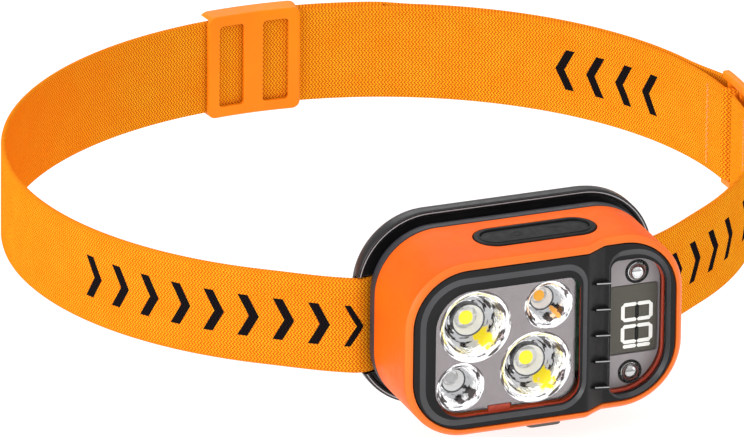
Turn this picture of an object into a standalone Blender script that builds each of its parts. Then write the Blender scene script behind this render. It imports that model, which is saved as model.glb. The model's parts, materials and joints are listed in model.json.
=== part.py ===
"""A rechargeable headlamp: tilting lamp head, bracket plate with forehead pad, elastic headband, slider.

Frame: the origin lies on the forehead pad's rear face, halfway up the headband, +Y points into the
wearer's head, the lamp shines towards -Y, +X is the viewer's right and +Z is up. Sizes below are in millimetres.
"""
import math

import bmesh
import bpy
from mathutils import Vector

MM = 0.001
GAP = 0.3                      # left between two solids that touch on the real lamp

# Lamp head: outline at the front lip and at the back edge, and the step down to the display side
HEAD_Z = 2.6
SHELL_FRONT = (74.0, 45.3)
SHELL_BACK = (72.8, 46.4)
SHELL_RADIUS = 16.0
WALL = 1.75
FRONT_Y = -35.0
BACK_Y = -11.4
STEP_DEPTH = 3.65
STEP_X = (10.6, 16.05)
HOUSING_BACK_Y = -7.6

# Windows, as left, right, bottom, top from the head's centre
MAIN_WINDOW = (-28.9, 9.0, -18.2, 14.9)
DISPLAY_WINDOW = (18.3, 32.8, -19.3, 15.9)
MAIN_RADII = (3.5, 9.5, 8.0, 5.0)          # corners: top right, top left, bottom left, bottom right
DISPLAY_RADII = (8.0, 2.0, 2.0, 11.0)
MAIN_LIP, DISPLAY_LIP = 1.0, 0.5               # how far each lens reaches past its window
WIDEST_CORNER = 12.0           # largest corner radius of a recess round a window
LENS_Y = (2.1, 3.1)            # depth of the lens behind the front plane
REFLECTOR_Y = 3.4
CUP_DEPTH = 7.0
LARGE_CUP = 9.1
SMALL_CUP = 6.05
CUPS = {                       # centre from the head's centre, rim radius, mouth radius at the lamp
    "spot": (-17.8, 4.45, LARGE_CUP, 3.4),
    "flood": (-1.85, -8.35, LARGE_CUP, 3.4),
    "amber": (1.35, 7.55, SMALL_CUP, 2.5),
    "red": (-21.55, -10.95, SMALL_CUP, 2.5),
}
PANEL_SETBACK = 1.8            # room in front of the display panel for the two domes on it
DISPLAY_FACE = (19.0, 32.2, -10.5, 7.2)
INDICATOR = (26.7, 10.8, 2.4)
SENSOR = (25.2, -15.5, 2.4)
DISPLAY_DEPTH = 3.8            # what stands in the panel ends this far behind its face
RIBS_Z = HEAD_Z - 1.5           # middle rib of five
RIB_PITCH = 6.85
RIB_DROP = 0.6                 # each rib falls this much towards the display
BEZEL_SETBACK = 0.25           # the black frame's face lies this far behind the shell's lip
BOARD_Y = FRONT_Y + REFLECTOR_Y + CUP_DEPTH + 0.4 + GAP
BATTERY = (42.0, 5.8, 30.0)
BATTERY_CENTRE = (-1.0, HEAD_Z - 1.5)

# Charging socket in the lamp head's bottom: width, depth, and its centre
USB_SIZE = (8.9, 3.2)
USB_CENTRE = (0.5, -30.9)

# Push-button pad in the top wall: length, width and centre
BUTTON_SIZE = (31.4, 11.0)
BUTTON_CENTRE = (1.5, -21.5)
BUTTON_TOP = 26.0
SWITCH_X = 8.0

# Tilt hinge below the head
HINGE = (-9.3, -23.9)
PIN_RADIUS = 1.0
KNUCKLE_RADIUS = 2.4
KNUCKLE_HALF = 14.0
LUG_WIDTH = 3.2

# Bracket plate and forehead pad
PLATE_SIZE = (78.0, 50.7)
PLATE_Z = 2.6                  # its centre is level with the head's, above the headband's middle
PLATE_RADIUS = 19.0
PLATE_Y = (-6.0, -2.7)
PLATE_FIELD_Y = -5.2
BAR_FRONT_Y = -3.85
CHANNEL_Y = -4.4
SLOT_X = (29.6, 35.2)
PAD_THICKNESS = 2.4

# Headband: an oval loop seen from above, and what is threaded on it
BAND_WIDTH = 25.0
BAND_THICKNESS = 1.2
LOOP_X, LOOP_Y = 94.2, 90.0
LOOP_CENTRE_Y = 79.2
RING_ANGLES = (88.0, 92.9)     # where the two ring bars sit, in degrees round from the back
RING_RAIL = 2.5                # how far the rails reach past the bars, in degrees
RING_OFFSET = 2.4              # the bars lie this far outside the band's middle line
RING_BAR = (0.95, 0.62)        # half a bar across, in mm, and half along the loop, in degrees
SLIDER_LENGTH = 25.6
SLIDER_HEIGHT = 27.6
SLIDER_BAR = 3.2
SLIDER_SLOT = (7.0, 22.0)
ANCHOR_OFFSET = (2.1, 3.4)     # inner and outer face of the bar that holds the return strap
ANCHOR_HALF = 1.3              # half width of the bar that holds the return strap, in degrees

BACK_RADIUS = LOOP_X ** 2 / LOOP_Y                  # the loop's radius of curvature at the back
SLIDER_AXIS_Y = LOOP_CENTRE_Y + LOOP_Y - BACK_RADIUS


def clear_scene():
    for obj in list(bpy.data.objects):
        bpy.data.objects.remove(obj)


def plastic(name, colour, roughness=0.45, metallic=0.0, alpha=1.0):
    mat = bpy.data.materials.get(name) or bpy.data.materials.new(name)
    mat.use_nodes = True
    shader = mat.node_tree.nodes["Principled BSDF"]
    shader.inputs["Base Color"].default_value = (*colour, 1.0)
    shader.inputs["Roughness"].default_value = roughness
    shader.inputs["Metallic"].default_value = metallic
    shader.inputs["Alpha"].default_value = alpha
    return mat


def solid(name, points, faces, mat=None):
    """One closed mesh object from points in millimetres."""
    mesh = bpy.data.meshes.new(name)
    form = bmesh.new()
    verts = [form.verts.new(Vector(p) * MM) for p in points]
    for face in faces:
        form.faces.new([verts[i] for i in face])
    bmesh.ops.recalc_face_normals(form, faces=form.faces)
    form.to_mesh(mesh)
    form.free()
    obj = bpy.data.objects.new(name, mesh)
    bpy.context.collection.objects.link(obj)
    if mat:
        mesh.materials.append(mat)
    mesh.shade_smooth()
    mesh.set_sharp_from_angle(angle=math.radians(30))
    return obj


def loft(name, loops, mat=None, closed=False):
    """Skins matching loops of points; open ends are capped, closed joins the last loop to the first."""
    count = len(loops[0])
    points = [p for loop in loops for p in loop]
    last = len(loops) if closed else len(loops) - 1
    faces = []
    for i in range(last):
        a, b = i * count, ((i + 1) % len(loops)) * count
        for k in range(count):
            n = (k + 1) % count
            faces.append((a + k, a + n, b + n, b + k))
    if not closed:
        faces.append(tuple(range(count)))
        faces.append(tuple((len(loops) - 1) * count + k for k in range(count)))
    return solid(name, points, faces, mat)


def apply_boolean(obj, tool, operation):
    """Cuts or joins at once and removes the tool."""
    mod = obj.modifiers.new(operation, "BOOLEAN")
    mod.operation = operation
    mod.solver = "EXACT"
    mod.object = tool
    bpy.context.view_layer.update()
    graph = bpy.context.evaluated_depsgraph_get()
    mesh = bpy.data.meshes.new_from_object(obj.evaluated_get(graph))
    mesh.name = obj.name
    obj.modifiers.clear()
    obj.data = mesh
    bpy.data.objects.remove(tool)
    return obj


def cut(obj, *tools):
    for tool in tools:
        apply_boolean(obj, tool, "DIFFERENCE")
    return obj


def fuse(obj, *tools):
    for tool in tools:
        apply_boolean(obj, tool, "UNION")
    return obj


def rounded(width, height, radii, centre=(0.0, 0.0), steps=6, breaks=()):
    """Outline of a rounded rectangle; radii is one number, or top right, top left, bottom left, bottom right."""
    if not isinstance(radii, tuple):
        radii = (radii,) * 4
    signs = ((1, 1), (-1, 1), (-1, -1), (1, -1))
    points = []
    for corner, ((sx, sz), r) in enumerate(zip(signs, radii)):
        cx = centre[0] + sx * (width / 2 - r)
        cz = centre[1] + sz * (height / 2 - r)
        for k in range(steps + 1):
            angle = math.radians(90 * corner + 90 * k / steps)
            points.append((cx + r * math.cos(angle), cz + r * math.sin(angle)))
        if corner == 0:
            points += [(x, centre[1] + height / 2) for x in sorted(breaks, reverse=True)]
        if corner == 2:
            points += [(x, centre[1] - height / 2) for x in sorted(breaks)]
    return points


def box_outline(box, radii, grow=0.0, steps=6):
    """Rounded outline of a left, right, bottom, top box given from the head's centre."""
    left, right, low, high = box
    if isinstance(radii, tuple):
        radii = tuple(r + grow for r in radii)
    else:
        radii += grow
    centre = ((left + right) / 2, (low + high) / 2 + HEAD_Z)
    return rounded(right - left + 2 * grow, high - low + 2 * grow, radii, centre, steps)


def prism(name, outline, y0, y1, mat=None):
    """An outline in X and Z, extruded along Y."""
    return loft(name, [[(x, y, z) for x, z in outline] for y in (y0, y1)], mat)


def column(name, outline, z0, z1, mat=None):
    """An outline in X and Y, extruded along Z."""
    return loft(name, [[(x, y, z) for x, y in outline] for z in (z0, z1)], mat)


def block(name, low, high, mat=None):
    (x0, y0, z0), (x1, y1, z1) = low, high
    return column(name, [(x0, y0), (x1, y0), (x1, y1), (x0, y1)], z0, z1, mat)


def turned(name, profile, centre, mat=None, axis="Y", sides=24):
    """A turned solid from radius and height pairs; the axis runs through centre."""
    loops = []
    for radius, height in profile:
        ring = []
        for k in range(sides):
            angle = 2 * math.pi * k / sides
            a, b = radius * math.cos(angle), radius * math.sin(angle)
            if axis == "X":
                ring.append((height, centre[0] + a, centre[1] + b))
            elif axis == "Y":
                ring.append((centre[0] + a, height, centre[1] + b))
            else:
                ring.append((centre[0] + a, centre[1] + b, height))
        loops.append(ring)
    return loft(name, loops, mat)


def rod(name, centre, radius, start, end, mat=None, axis="Y", sides=24):
    return turned(name, [(radius, start), (radius, end)], centre, mat, axis, sides)


def dome(radius, base, top, steps=4):
    """Profile of a dome that rises from base to top."""
    angles = [math.radians(84) * k / steps for k in range(steps + 1)]
    return [(radius * math.cos(a), base + (top - base) * math.sin(a)) for a in angles]


# ---------------------------------------------------------------- lamp head

def step_at(x):
    """How far the front plane lies back at this x: nothing at the windows' side, more at the display."""
    share = (x - STEP_X[0]) / (STEP_X[1] - STEP_X[0])
    return STEP_DEPTH * min(1.0, max(0.0, share))


def shell_loop(depth, inset, along=0.0):
    """Outline of the shell: along runs from 0 at the front lip to 1 at the back edge."""
    width = SHELL_FRONT[0] + (SHELL_BACK[0] - SHELL_FRONT[0]) * along - 2 * inset
    height = SHELL_FRONT[1] + (SHELL_BACK[1] - SHELL_FRONT[1]) * along - 2 * inset
    outline = rounded(width, height, SHELL_RADIUS - inset, (0, HEAD_Z), breaks=STEP_X)
    if along == 1.0:
        return [(x, BACK_Y, z) for x, z in outline]
    return [(x, FRONT_Y + depth + step_at(x), z) for x, z in outline]


def housing_loop(y, inset):
    outline = rounded(SHELL_BACK[0] - 2 * inset, SHELL_BACK[1] - 2 * inset, SHELL_RADIUS - inset,
                      (0, HEAD_Z))
    return [(x, y, z) for x, z in outline]


def button_outline(grow, half=0):
    """Oblong of the button pad; half -1 or 1 keeps the key on that side."""
    length, width = BUTTON_SIZE[0] + 2 * grow, BUTTON_SIZE[1] + 2 * grow
    outline = rounded(length, width, width / 2 - 0.01, BUTTON_CENTRE)
    if not half:
        return outline
    middle = BUTTON_CENTRE[0]
    kept = [p for p in outline if (p[0] - middle) * half > 0]
    split = middle + half * GAP / 2
    top, bottom = BUTTON_CENTRE[1] + width / 2, BUTTON_CENTRE[1] - width / 2
    if half > 0:
        arc = sorted(kept, key=lambda p: math.atan2(p[1] - BUTTON_CENTRE[1], p[0] - middle))
        return arc + [(split, top), (split, bottom)]
    arc = sorted(kept, key=lambda p: math.atan2(p[1] - BUTTON_CENTRE[1], middle - p[0]))
    return arc + [(split, top), (split, bottom)]


BOSS = (28.6, 14.3)            # screw bosses, from the head's centre
BOSS_END_Y = -14.3
SCREWS = ("housing_screw_1", "housing_screw_2", "housing_screw_3", "housing_screw_4")


def screw_places():
    return [(sx * BOSS[0], HEAD_Z + sz * BOSS[1]) for sx in (-1, 1) for sz in (-1, 1)]


def make_front_shell(orange):
    profile = [(0.0, WALL, 0), (0.0, 1.15, 0), (0.45, 0.4, 0), (1.5, 0.0, 0), (0, 0.0, 1), (0, WALL, 1)]
    shell = loft("front_shell", [shell_loop(*row) for row in profile], orange, closed=True)
    bosses = [rod("boss", place, 3.4, -22.0, BOSS_END_Y, sides=16) for place in screw_places()]
    fuse(shell, *bosses)
    holes = [rod("hole", place, 1.0 + GAP, -21.0, BOSS_END_Y + 1, sides=16) for place in screw_places()]
    cut(shell, *holes)
    cut(shell, column("slot", button_outline(GAP), 20.0, 30.0))
    return cut(shell, usb_body("port", GAP, (-24.0, -16.9), steps=4))


def make_rear_housing(black):
    loops = [(BACK_Y + GAP, 1.9), (BACK_Y + GAP, 0.0), (-8.9, 0.0), (-8.0, 0.5), (HOUSING_BACK_Y, 1.7)]
    housing = loft("rear_housing", [housing_loop(*row) for row in loops], black)
    spigot = [(-14.0, 3.05), (-14.0, 4.2), (-10.8, 4.2), (-10.8, 3.05)]
    cut(housing, loft("well", [housing_loop(*row) for row in ((-11.5, 4.2), (-9.4, 4.2))]))
    fuse(housing, loft("spigot", [housing_loop(*row) for row in spigot], closed=True))
    fuse(housing, *[rod("post", place, 1.9, -13.99, -9.0, sides=16) for place in screw_places()])
    y, z = HINGE
    inner = KNUCKLE_HALF - GAP
    fuse(housing, rod("knuckle", HINGE, KNUCKLE_RADIUS, -inner, inner, axis="X"))
    fuse(housing, block("web", (-inner + 0.01, y - 1.7, z), (inner - 0.01, y + 1.4, HEAD_Z - 22.6)))
    cut(housing, rod("bore", HINGE, PIN_RADIUS + GAP, -40, 40, axis="X"))
    for place in screw_places():
        cut(housing, turned("counterbore", [(1.3, -15), (1.3, -9.3), (2.4, -9.3), (2.4, -7)], place, sides=16))
    return housing


def usb_body(name, grow, z_range, mat=None, steps=4):
    """Charging socket's shell, an upright tube that opens downwards."""
    width, depth = USB_SIZE[0] + 2 * grow, USB_SIZE[1] + 2 * grow
    outline = rounded(width, depth, depth / 2 - 0.05, USB_CENTRE, steps)
    return column(name, outline, *z_range, mat)


def make_usb_socket(steel):
    socket = usb_body("usb_socket", 0.0, (-21.4, -17.3), steel)
    return cut(socket, usb_body("mouth", -0.35, (-23.0, -17.9)))


def make_bezel(black):
    """Black front frame: one plate with a step, a dished recess and a window on each side of the ribs."""
    rim = WALL + GAP
    outline = rounded(SHELL_FRONT[0] - 2 * rim, SHELL_FRONT[1] - 2 * rim, SHELL_RADIUS - rim, (0, HEAD_Z))
    front, back = FRONT_Y + BEZEL_SETBACK, FRONT_Y + LENS_Y[1] + 1.2
    stepped = [(-50, front), (STEP_X[0], front), (STEP_X[1], front + STEP_DEPTH), (50, front + STEP_DEPTH),
               (50, back + STEP_DEPTH), (STEP_X[1] - 1.5, back + STEP_DEPTH), (STEP_X[0] - 1.5, back),
               (-50, back)]
    bezel = prism("front_bezel", outline, FRONT_Y - 1, FRONT_Y + 12, black)
    apply_boolean(bezel, column("slab", stepped, -40, 40), "INTERSECT")
    for rib in range(-2, 3):
        z = RIBS_Z + rib * RIB_PITCH
        ends = ((12.9, front + 0.5, z + RIB_DROP / 2), (16.9, front + 1.1, z - RIB_DROP / 2))
        fin = [[(x, y, top - 0.7), (x, front + 4.4, top - 0.7), (x, front + 4.4, top), (x, y, top)]
               for x, y, top in ends]
        fuse(bezel, loft("fin", fin))
    dish(bezel, MAIN_WINDOW, MAIN_RADII, 0.0, (4.5, 1.3, 1.3, 4.0), MAIN_LIP)
    dish(bezel, DISPLAY_WINDOW, DISPLAY_RADII, STEP_DEPTH, (0.9, 0.9, 0.9, 3.0), DISPLAY_LIP)
    return cut(bezel, usb_body("port", GAP, (-24.0, -16.95)))


def dish(bezel, window, radii, back, spread, lip):
    """Cuts one window: a chamfered recess, the opening, and a rebate behind it for the lens and its seal.

    spread is how far the recess reaches past the window on the left, right, bottom and top.
    """
    left, right, low, high = window
    out = (left - spread[0], right + spread[1], low - spread[2], high + spread[3])
    shrink = (1.9, 0.7, 1.0, 2.0) if back == 0.0 else (0.6, 0.6, 0.6, 1.8)
    floor = (out[0] + shrink[0], out[1] - shrink[1], out[2] + shrink[2], out[3] - shrink[3])
    wide = tuple(min(r + 2.2, WIDEST_CORNER) for r in radii)
    near = tuple(r + 1.0 for r in radii)
    face = FRONT_Y + back + BEZEL_SETBACK
    slope = [box_outline(out, wide), box_outline(out, wide), box_outline(floor, near)]
    depths = (face - 1.0, face, face + 1.0)
    cut(bezel, loft("recess", [[(x, y, z) for x, z in ring] for ring, y in zip(slope, depths)]))
    cut(bezel, prism("opening", box_outline(window, radii), face - 2, face + 9))
    pocket = FRONT_Y + back + LENS_Y[0] - GAP
    cut(bezel, prism("rebate", box_outline(window, radii, lip + GAP), pocket, pocket + 9))


def make_lens(name, window, radii, back, clear, lip):
    outline = box_outline(window, radii, lip)
    return prism(name, outline, FRONT_Y + back + LENS_Y[0], FRONT_Y + back + LENS_Y[1], clear)


SEAL_THICKNESS = 0.6
SEAL_TAB = (-14.1, -8.4, 1.2)  # from x, to x, and how far it shows above the window's lower edge


def make_seal(name, window, radii, back, red, inner, lip):
    """Silicone ring behind a lens; inner is how far its inner edge lies outside the window."""
    y0 = FRONT_Y + back + LENS_Y[1] + GAP
    y1 = y0 + SEAL_THICKNESS
    rings = []
    for grow, y in ((lip, y0), (lip, y1), (inner, y1), (inner, y0)):
        rings.append([(x, y, z) for x, z in box_outline(window, radii, grow)])
    return loft(name, rings, red, closed=True)


def add_seal_tab(seal):
    """Pull tab in the middle of the main seal's lower run."""
    start, end, height = SEAL_TAB
    y0 = FRONT_Y + LENS_Y[1] + GAP
    edge = HEAD_Z + MAIN_WINDOW[2]
    inset = 0.05
    fuse(seal, block("tab", (start, y0 + inset, edge - 0.8), (end, y0 + SEAL_THICKNESS - inset, edge + height)))


def cup_profile(rim, mouth, front, wall=0.0):
    """Parabolic cup from its rim at the front to its small mouth at the back."""
    rows = []
    for k in range(5):
        share = k / 4
        radius = mouth + (rim - mouth) * math.sqrt(1 - share)
        rows.append((radius + wall, front + CUP_DEPTH * share))
    return rows


def make_reflector(chrome):
    front = FRONT_Y + REFLECTOR_Y
    face = box_outline(MAIN_WINDOW, MAIN_RADII, -0.5)
    reflector = prism("reflector", face, front, front + 1.0, chrome)
    for x, z, rim, mouth in CUPS.values():
        body = cup_profile(rim, mouth, front, 0.7)
        body[0] = (rim, front + 0.95)
        fuse(reflector, turned("cup", body, (x, HEAD_Z + z), sides=28))
    for x, z, rim, mouth in CUPS.values():
        bowl = cup_profile(rim, mouth, front)
        bowl = [(rim, front - 1)] + bowl + [(mouth, front + CUP_DEPTH + 3)]
        cut(reflector, turned("bowl", bowl, (x, HEAD_Z + z), sides=28))
    start, end, height = SEAL_TAB
    edge = HEAD_Z + MAIN_WINDOW[2]
    notch = block("notch", (start - GAP, front - 1, edge - 1), (end + GAP, front + 2, edge + height + GAP))
    return cut(reflector, notch)


def make_led(name, cup, size, lens, mat):
    """A ceramic lamp package with its domed lens, standing on the lamp board inside a cup's mouth."""
    x, z = CUPS[cup][0], HEAD_Z + CUPS[cup][1]
    base = BOARD_Y - GAP
    led = prism(name, rounded(size, size, 0.25, (x, z), steps=2), base, base - 0.9, mat)
    profile = dome(lens, base - 0.8, base - 0.9 - lens * 0.8)
    return fuse(led, turned("lens", profile, (x, z), sides=16))


def make_display(grey, dark, chrome, glassy):
    """Panel behind the display window, the number module set in it, a signal lamp and the motion sensor."""
    front = FRONT_Y + STEP_DEPTH + REFLECTOR_Y + PANEL_SETBACK
    outline = box_outline(DISPLAY_WINDOW, DISPLAY_RADII)
    panel = prism("display_panel", outline, front, front + 1.4, grey)
    cut(panel, prism("hole", box_outline(DISPLAY_FACE, 0.8, GAP, steps=2), front - 1, front + 3))
    prism("display_module", box_outline(DISPLAY_FACE, 0.8, steps=2), front + 0.25, front + DISPLAY_DEPTH, dark)
    for spec, name, mat in ((INDICATOR, "signal_led", chrome), (SENSOR, "motion_sensor", glassy)):
        x, z, radius = spec
        cut(panel, rod("hole", (x, HEAD_Z + z), radius + GAP, front - 1, front + 3, sides=20))
        top = front - PANEL_SETBACK + 0.05
        profile = [(radius, front + DISPLAY_DEPTH), (radius, front)] + dome(radius * 0.9, front - 0.01, top)
        turned(name, profile, (x, HEAD_Z + z), mat, sides=20)


def make_inside(green, steel, blue, black, white):
    """Boards, battery and the parts on them, stacked from the reflector to the rear housing."""
    block("led_board", (-29.6, BOARD_Y, HEAD_Z - 15.0), (9.4, BOARD_Y + 1.2, HEAD_Z + 14.4), white)
    main_y = BOARD_Y + 3.0
    block("main_board", (-24.0, main_y, HEAD_Z - 15.6), (24.0, main_y + 1.0, HEAD_Z + 13.0), green)
    length, thickness, height = BATTERY
    battery = rounded(length, height, 1.5, BATTERY_CENTRE, steps=3)
    prism("battery", battery, main_y + 2.2, main_y + 2.2 + thickness, blue)
    tray_y = (main_y + 1.6, main_y + 8.4)
    rings = []
    for grow, y in ((1.6, tray_y[0]), (1.6, tray_y[1]), (GAP, tray_y[1]), (GAP, tray_y[0])):
        outline = rounded(length + 2 * grow, height + 2 * grow, 1.5 + grow, BATTERY_CENTRE, steps=3)
        rings.append([(x, y, z) for x, z in outline])
    loft("battery_tray", rings, black, closed=True)
    x, y = BUTTON_CENTRE
    block("switch_board", (x - 15.5, y - 3.6, 19.4), (x + 15.5, y + 5.0, 20.4), green)
    for side, name in ((-1, "power_switch"), (1, "sensor_switch")):
        place = (x + side * SWITCH_X, y)
        body = column(name, rounded(4.5, 4.5, 0.4, place, steps=2), 20.4 + GAP, 21.7, steel)
        fuse(body, rod("stem", place, 1.1, 21.0, 22.1, axis="Z", sides=16))


def make_button(rubber):
    """Rubber surround held under the top wall, and the two keys it carries."""
    collar = column("button_pad", button_outline(0.0), 23.0, BUTTON_TOP - 0.25, rubber)
    fuse(collar, column("crown", button_outline(-0.5), BUTTON_TOP - 1.0, BUTTON_TOP))
    fuse(collar, column("flange", button_outline(0.8), 21.6, 23.0))
    cut(collar, column("hole", button_outline(-1.5), 20.0, 30.0))
    for side, name in ((-1, "power_key"), (1, "sensor_key")):
        key = column(name, button_outline(-1.5 - GAP, side), 23.6, BUTTON_TOP - 0.3, rubber)
        place = (BUTTON_CENTRE[0] + side * SWITCH_X, BUTTON_CENTRE[1])
        fuse(key, rod("plunger", place, 1.4, 23.0, 24.5, axis="Z", sides=16))


def make_screws(steel):
    profile = [(1.0, -18.5), (1.0, -9.0), (2.1, -9.0), (2.1, -7.9)]
    for name, place in zip(SCREWS, screw_places()):
        turned(name, profile, place, steel, sides=12)


def make_gasket(rubber):
    rings = [(-13.0, 2.05), (-11.7, 2.05), (-11.7, 2.75), (-13.0, 2.75)]
    return loft("housing_gasket", [housing_loop(*row) for row in rings], rubber, closed=True)


# ---------------------------------------------------------------- bracket and pad

def plate_loop(y, inset):
    width, height = PLATE_SIZE[0] - 2 * inset, PLATE_SIZE[1] - 2 * inset
    outline = rounded(width, height, PLATE_RADIUS - inset, (0, PLATE_Z), steps=8)
    return [(x, y, z) for x, z in outline]


def make_bracket(black):
    front, back = PLATE_Y
    rows = [(back, 0.4), (back - 0.4, 0.0), (front + 0.5, 0.0), (front, 0.4), (front, 1.3), (PLATE_FIELD_Y, 1.6)]
    plate = loft("bracket_plate", [plate_loop(*row) for row in rows], black)
    half = BAND_WIDTH / 2 + 0.4
    cut(plate, block("channel", (-SLOT_X[0] - 1, CHANNEL_Y, -half), (SLOT_X[0] + 1, 0, half)))
    for side in (-1, 1):
        low, high = sorted((side * SLOT_X[0], side * SLOT_X[1]))
        cut(plate, block("slot", (low, -9, -half - 0.01), (high, 0, half + 0.01)))
        low, high = sorted((side * (SLOT_X[1] - 0.5), side * 40))
        cut(plate, block("notch", (low, -9, -half), (high, BAR_FRONT_Y, half)))
    y, z = HINGE
    for side in (-1, 1):
        low, high = sorted((side * (KNUCKLE_HALF + GAP), side * (KNUCKLE_HALF + GAP + LUG_WIDTH)))
        web = [(y, z + 2.5), (back - 1.0, z + 5.4), (back - 1.0, z + 1.3), (y, z - 2.5)]
        lug = [[(x, *p) for p in web] for x in (low, high)]
        ear = loft("lug", lug)
        fuse(ear, rod("eye", HINGE, 2.5, low - 0.005, high + 0.005, axis="X"))
        fuse(plate, ear)
    return cut(plate, rod("bore", HINGE, PIN_RADIUS + GAP, -40, 40, axis="X"))


def make_pin(steel):
    end = KNUCKLE_HALF + LUG_WIDTH + 2 * GAP
    profile = [(1.9, -end - 0.8), (1.9, -end), (PIN_RADIUS, -end), (PIN_RADIUS, end), (1.9, end), (1.9, end + 0.8)]
    return turned("hinge_pin", profile, HINGE, steel, axis="X", sides=20)


def make_pad(foam):
    rows = [(-PAD_THICKNESS, 0.9), (-1.2, 0.9), (-0.5, 1.2), (0.0, 2.0)]
    return loft("forehead_pad", [plate_loop(*row) for row in rows], foam)


# ---------------------------------------------------------------- headband

def on_loop(degrees, offset=0.0):
    """Point of the headband's plan, measured round from the back; offset is outwards."""
    t = math.radians(degrees)
    normal = Vector((math.sin(t) / LOOP_X, math.cos(t) / LOOP_Y)).normalized()
    x, y = LOOP_X * math.sin(t), LOOP_CENTRE_Y + LOOP_Y * math.cos(t)
    return (x + normal.x * offset, y + normal.y * offset)


def smooth(share):
    share = min(1.0, max(0.0, share))
    return share * share * (3 - 2 * share)


def front_side():
    """Right half of the band's front: from the loop's side over the bracket's bar and through its slot."""
    points = []
    for k in range(16):
        x, y = on_loop(100 + (155.9 - 100) * k / 15)
        points.append((x, y - 2.1 * smooth((58 - x) / 20)))
    slot = [(36.6, -5.25), (35.2, -5.12), (34.0, -4.6), (32.8, -4.0), (31.4, -3.6), (30.0, -3.45)]
    return points + slot


def turn_round_bar(degrees, toward):
    """Half turn of the band's middle line round a ring bar, from the inside of the loop to the outside."""
    centre = Vector(on_loop(degrees, RING_OFFSET))
    inside = Vector(on_loop(degrees)) - centre
    side = Vector(on_loop(degrees + toward, RING_OFFSET)) - centre
    side = side.normalized() * RING_OFFSET
    angles = [math.pi * k / 8 for k in range(9)]
    return [tuple(centre + inside * math.cos(a) + side * math.sin(a)) for a in angles]


def band_centreline():
    """Middle line of the webbing: ring, back, left side, bracket, right side, ring and its sewn end."""
    rear = turn_round_bar(RING_ANGLES[0], 1)[::-1]
    start = RING_ANGLES[0] - 3
    back = [on_loop(start - (start + 98) * k / 52) for k in range(53)]
    right = front_side()
    left = [(-x, y) for x, y in right]
    side = turn_round_bar(RING_ANGLES[1], -1)
    sewn = [on_loop(RING_ANGLES[1] + d, 2 * RING_OFFSET - 3.1 * smooth(d / 5)) for d in (1.5, 3, 4.5, 6, 8, 10)]
    return rear + back + left + right[::-1] + side + sewn


def ribbon(name, centreline, mat, width=BAND_WIDTH, thickness=BAND_THICKNESS):
    """A flat band that stands on edge along a line in plan."""
    count = len(centreline)
    loops = []
    for k, point in enumerate(centreline):
        before = Vector(centreline[max(k - 1, 0)])
        after = Vector(centreline[min(k + 1, count - 1)])
        run = (after - before).normalized()
        normal = Vector((-run.y, run.x)) * thickness / 2
        a, b = Vector(point) + normal, Vector(point) - normal
        half = width / 2
        loops.append([(a.x, a.y, -half), (b.x, b.y, -half), (b.x, b.y, half), (a.x, a.y, half)])
    return loft(name, loops, mat)


def make_return_strap(webbing):
    """Outer layer of the doubled back, from the ring to the slider."""
    start = RING_ANGLES[0] - 0.5
    degrees = [start - 2 * k for k in range(6)] + [72 - 4 * k for k in range(16)] + [8.8]
    line = [on_loop(d, 2 * RING_OFFSET - 3.25 * smooth((start - d) / 8)) for d in degrees]
    return ribbon("return_strap", line, webbing)


def bent_bar(name, start, end, inner, outer, low, high, mat=None, pieces=1):
    """A bar that follows the loop between two angles, between two offsets and two heights."""
    loops = []
    for k in range(pieces + 1):
        d = start + (end - start) * k / pieces
        a, b = on_loop(d, inner), on_loop(d, outer)
        loops.append([(*a, low), (*b, low), (*b, high), (*a, high)])
    return loft(name, loops, mat)


def make_ring(orange):
    """Rectangular ring that joins the doubled back to the right side of the band."""
    half = BAND_WIDTH / 2 + 0.6
    across, along = RING_BAR
    first, last = RING_ANGLES
    inner, outer = RING_OFFSET - across, RING_OFFSET + across
    ring = bent_bar("end_ring", first - RING_RAIL, last + RING_RAIL, inner, outer, -half - 2.2, half + 2.2,
                    orange, pieces=3)
    spaces = ((first - 9, first - along), (first + along, last - along), (last + along, last + 9))
    for start, end in spaces:
        cut(ring, bent_bar("space", start, end, inner - 3, outer + 3, -half, half, pieces=2))
    return ring


def make_slider(orange):
    """Three-bar slider: a slotted plate inside the loop, rails, and a bar outside for the return strap."""
    per_mm = 180 / (math.pi * LOOP_X)
    end = SLIDER_LENGTH / 2 * per_mm
    rail = BAND_WIDTH / 2 + 0.45
    high = SLIDER_HEIGHT / 2
    inner = -BAND_THICKNESS / 2 - 0.45
    under, outer = ANCHOR_OFFSET
    slider = bent_bar("slider_buckle", -end, end, inner - 1.0, outer, -high, high, orange, pieces=7)
    cut(slider, bent_bar("channel", -end - 2, end + 2, inner, under, -rail, rail, pieces=9))
    middle = (SLIDER_LENGTH - 2 * SLIDER_BAR - 2 * SLIDER_SLOT[0]) / 2
    for side in (-1, 1):
        a, b = sorted((side * middle * per_mm, side * (middle + SLIDER_SLOT[0]) * per_mm))
        half = SLIDER_SLOT[1] / 2
        cut(slider, bent_bar("slot", a, b, inner - 4, inner + 1, -half, half, pieces=2))
        a, b = sorted((side * ANCHOR_HALF, side * (end + 2)))
        cut(slider, bent_bar("gap", a, b, 0.8, 6.0, -rail, rail, pieces=4))
    return slider


# ---------------------------------------------------------------- assembly

def axis_empty(name, place, children):
    """Empty on a joint's axis, with the pieces that move on it as children."""
    empty = bpy.data.objects.new(name, None)
    empty.location = Vector(place) * MM
    bpy.context.collection.objects.link(empty)
    for child in children:
        obj = bpy.data.objects[child]
        obj.parent = empty
        obj.location = -empty.location
    return empty


HEAD_NODES = SCREWS + (
    "front_shell", "rear_housing", "housing_gasket", "front_bezel", "main_lens",
    "main_lens_seal", "display_lens", "display_lens_seal", "reflector", "spot_led", "flood_led",
    "amber_led", "red_led", "led_board", "main_board", "battery", "battery_tray", "switch_board",
    "power_switch", "sensor_switch", "usb_socket", "display_panel", "display_module", "signal_led", "motion_sensor",
    "button_pad",
)


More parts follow.
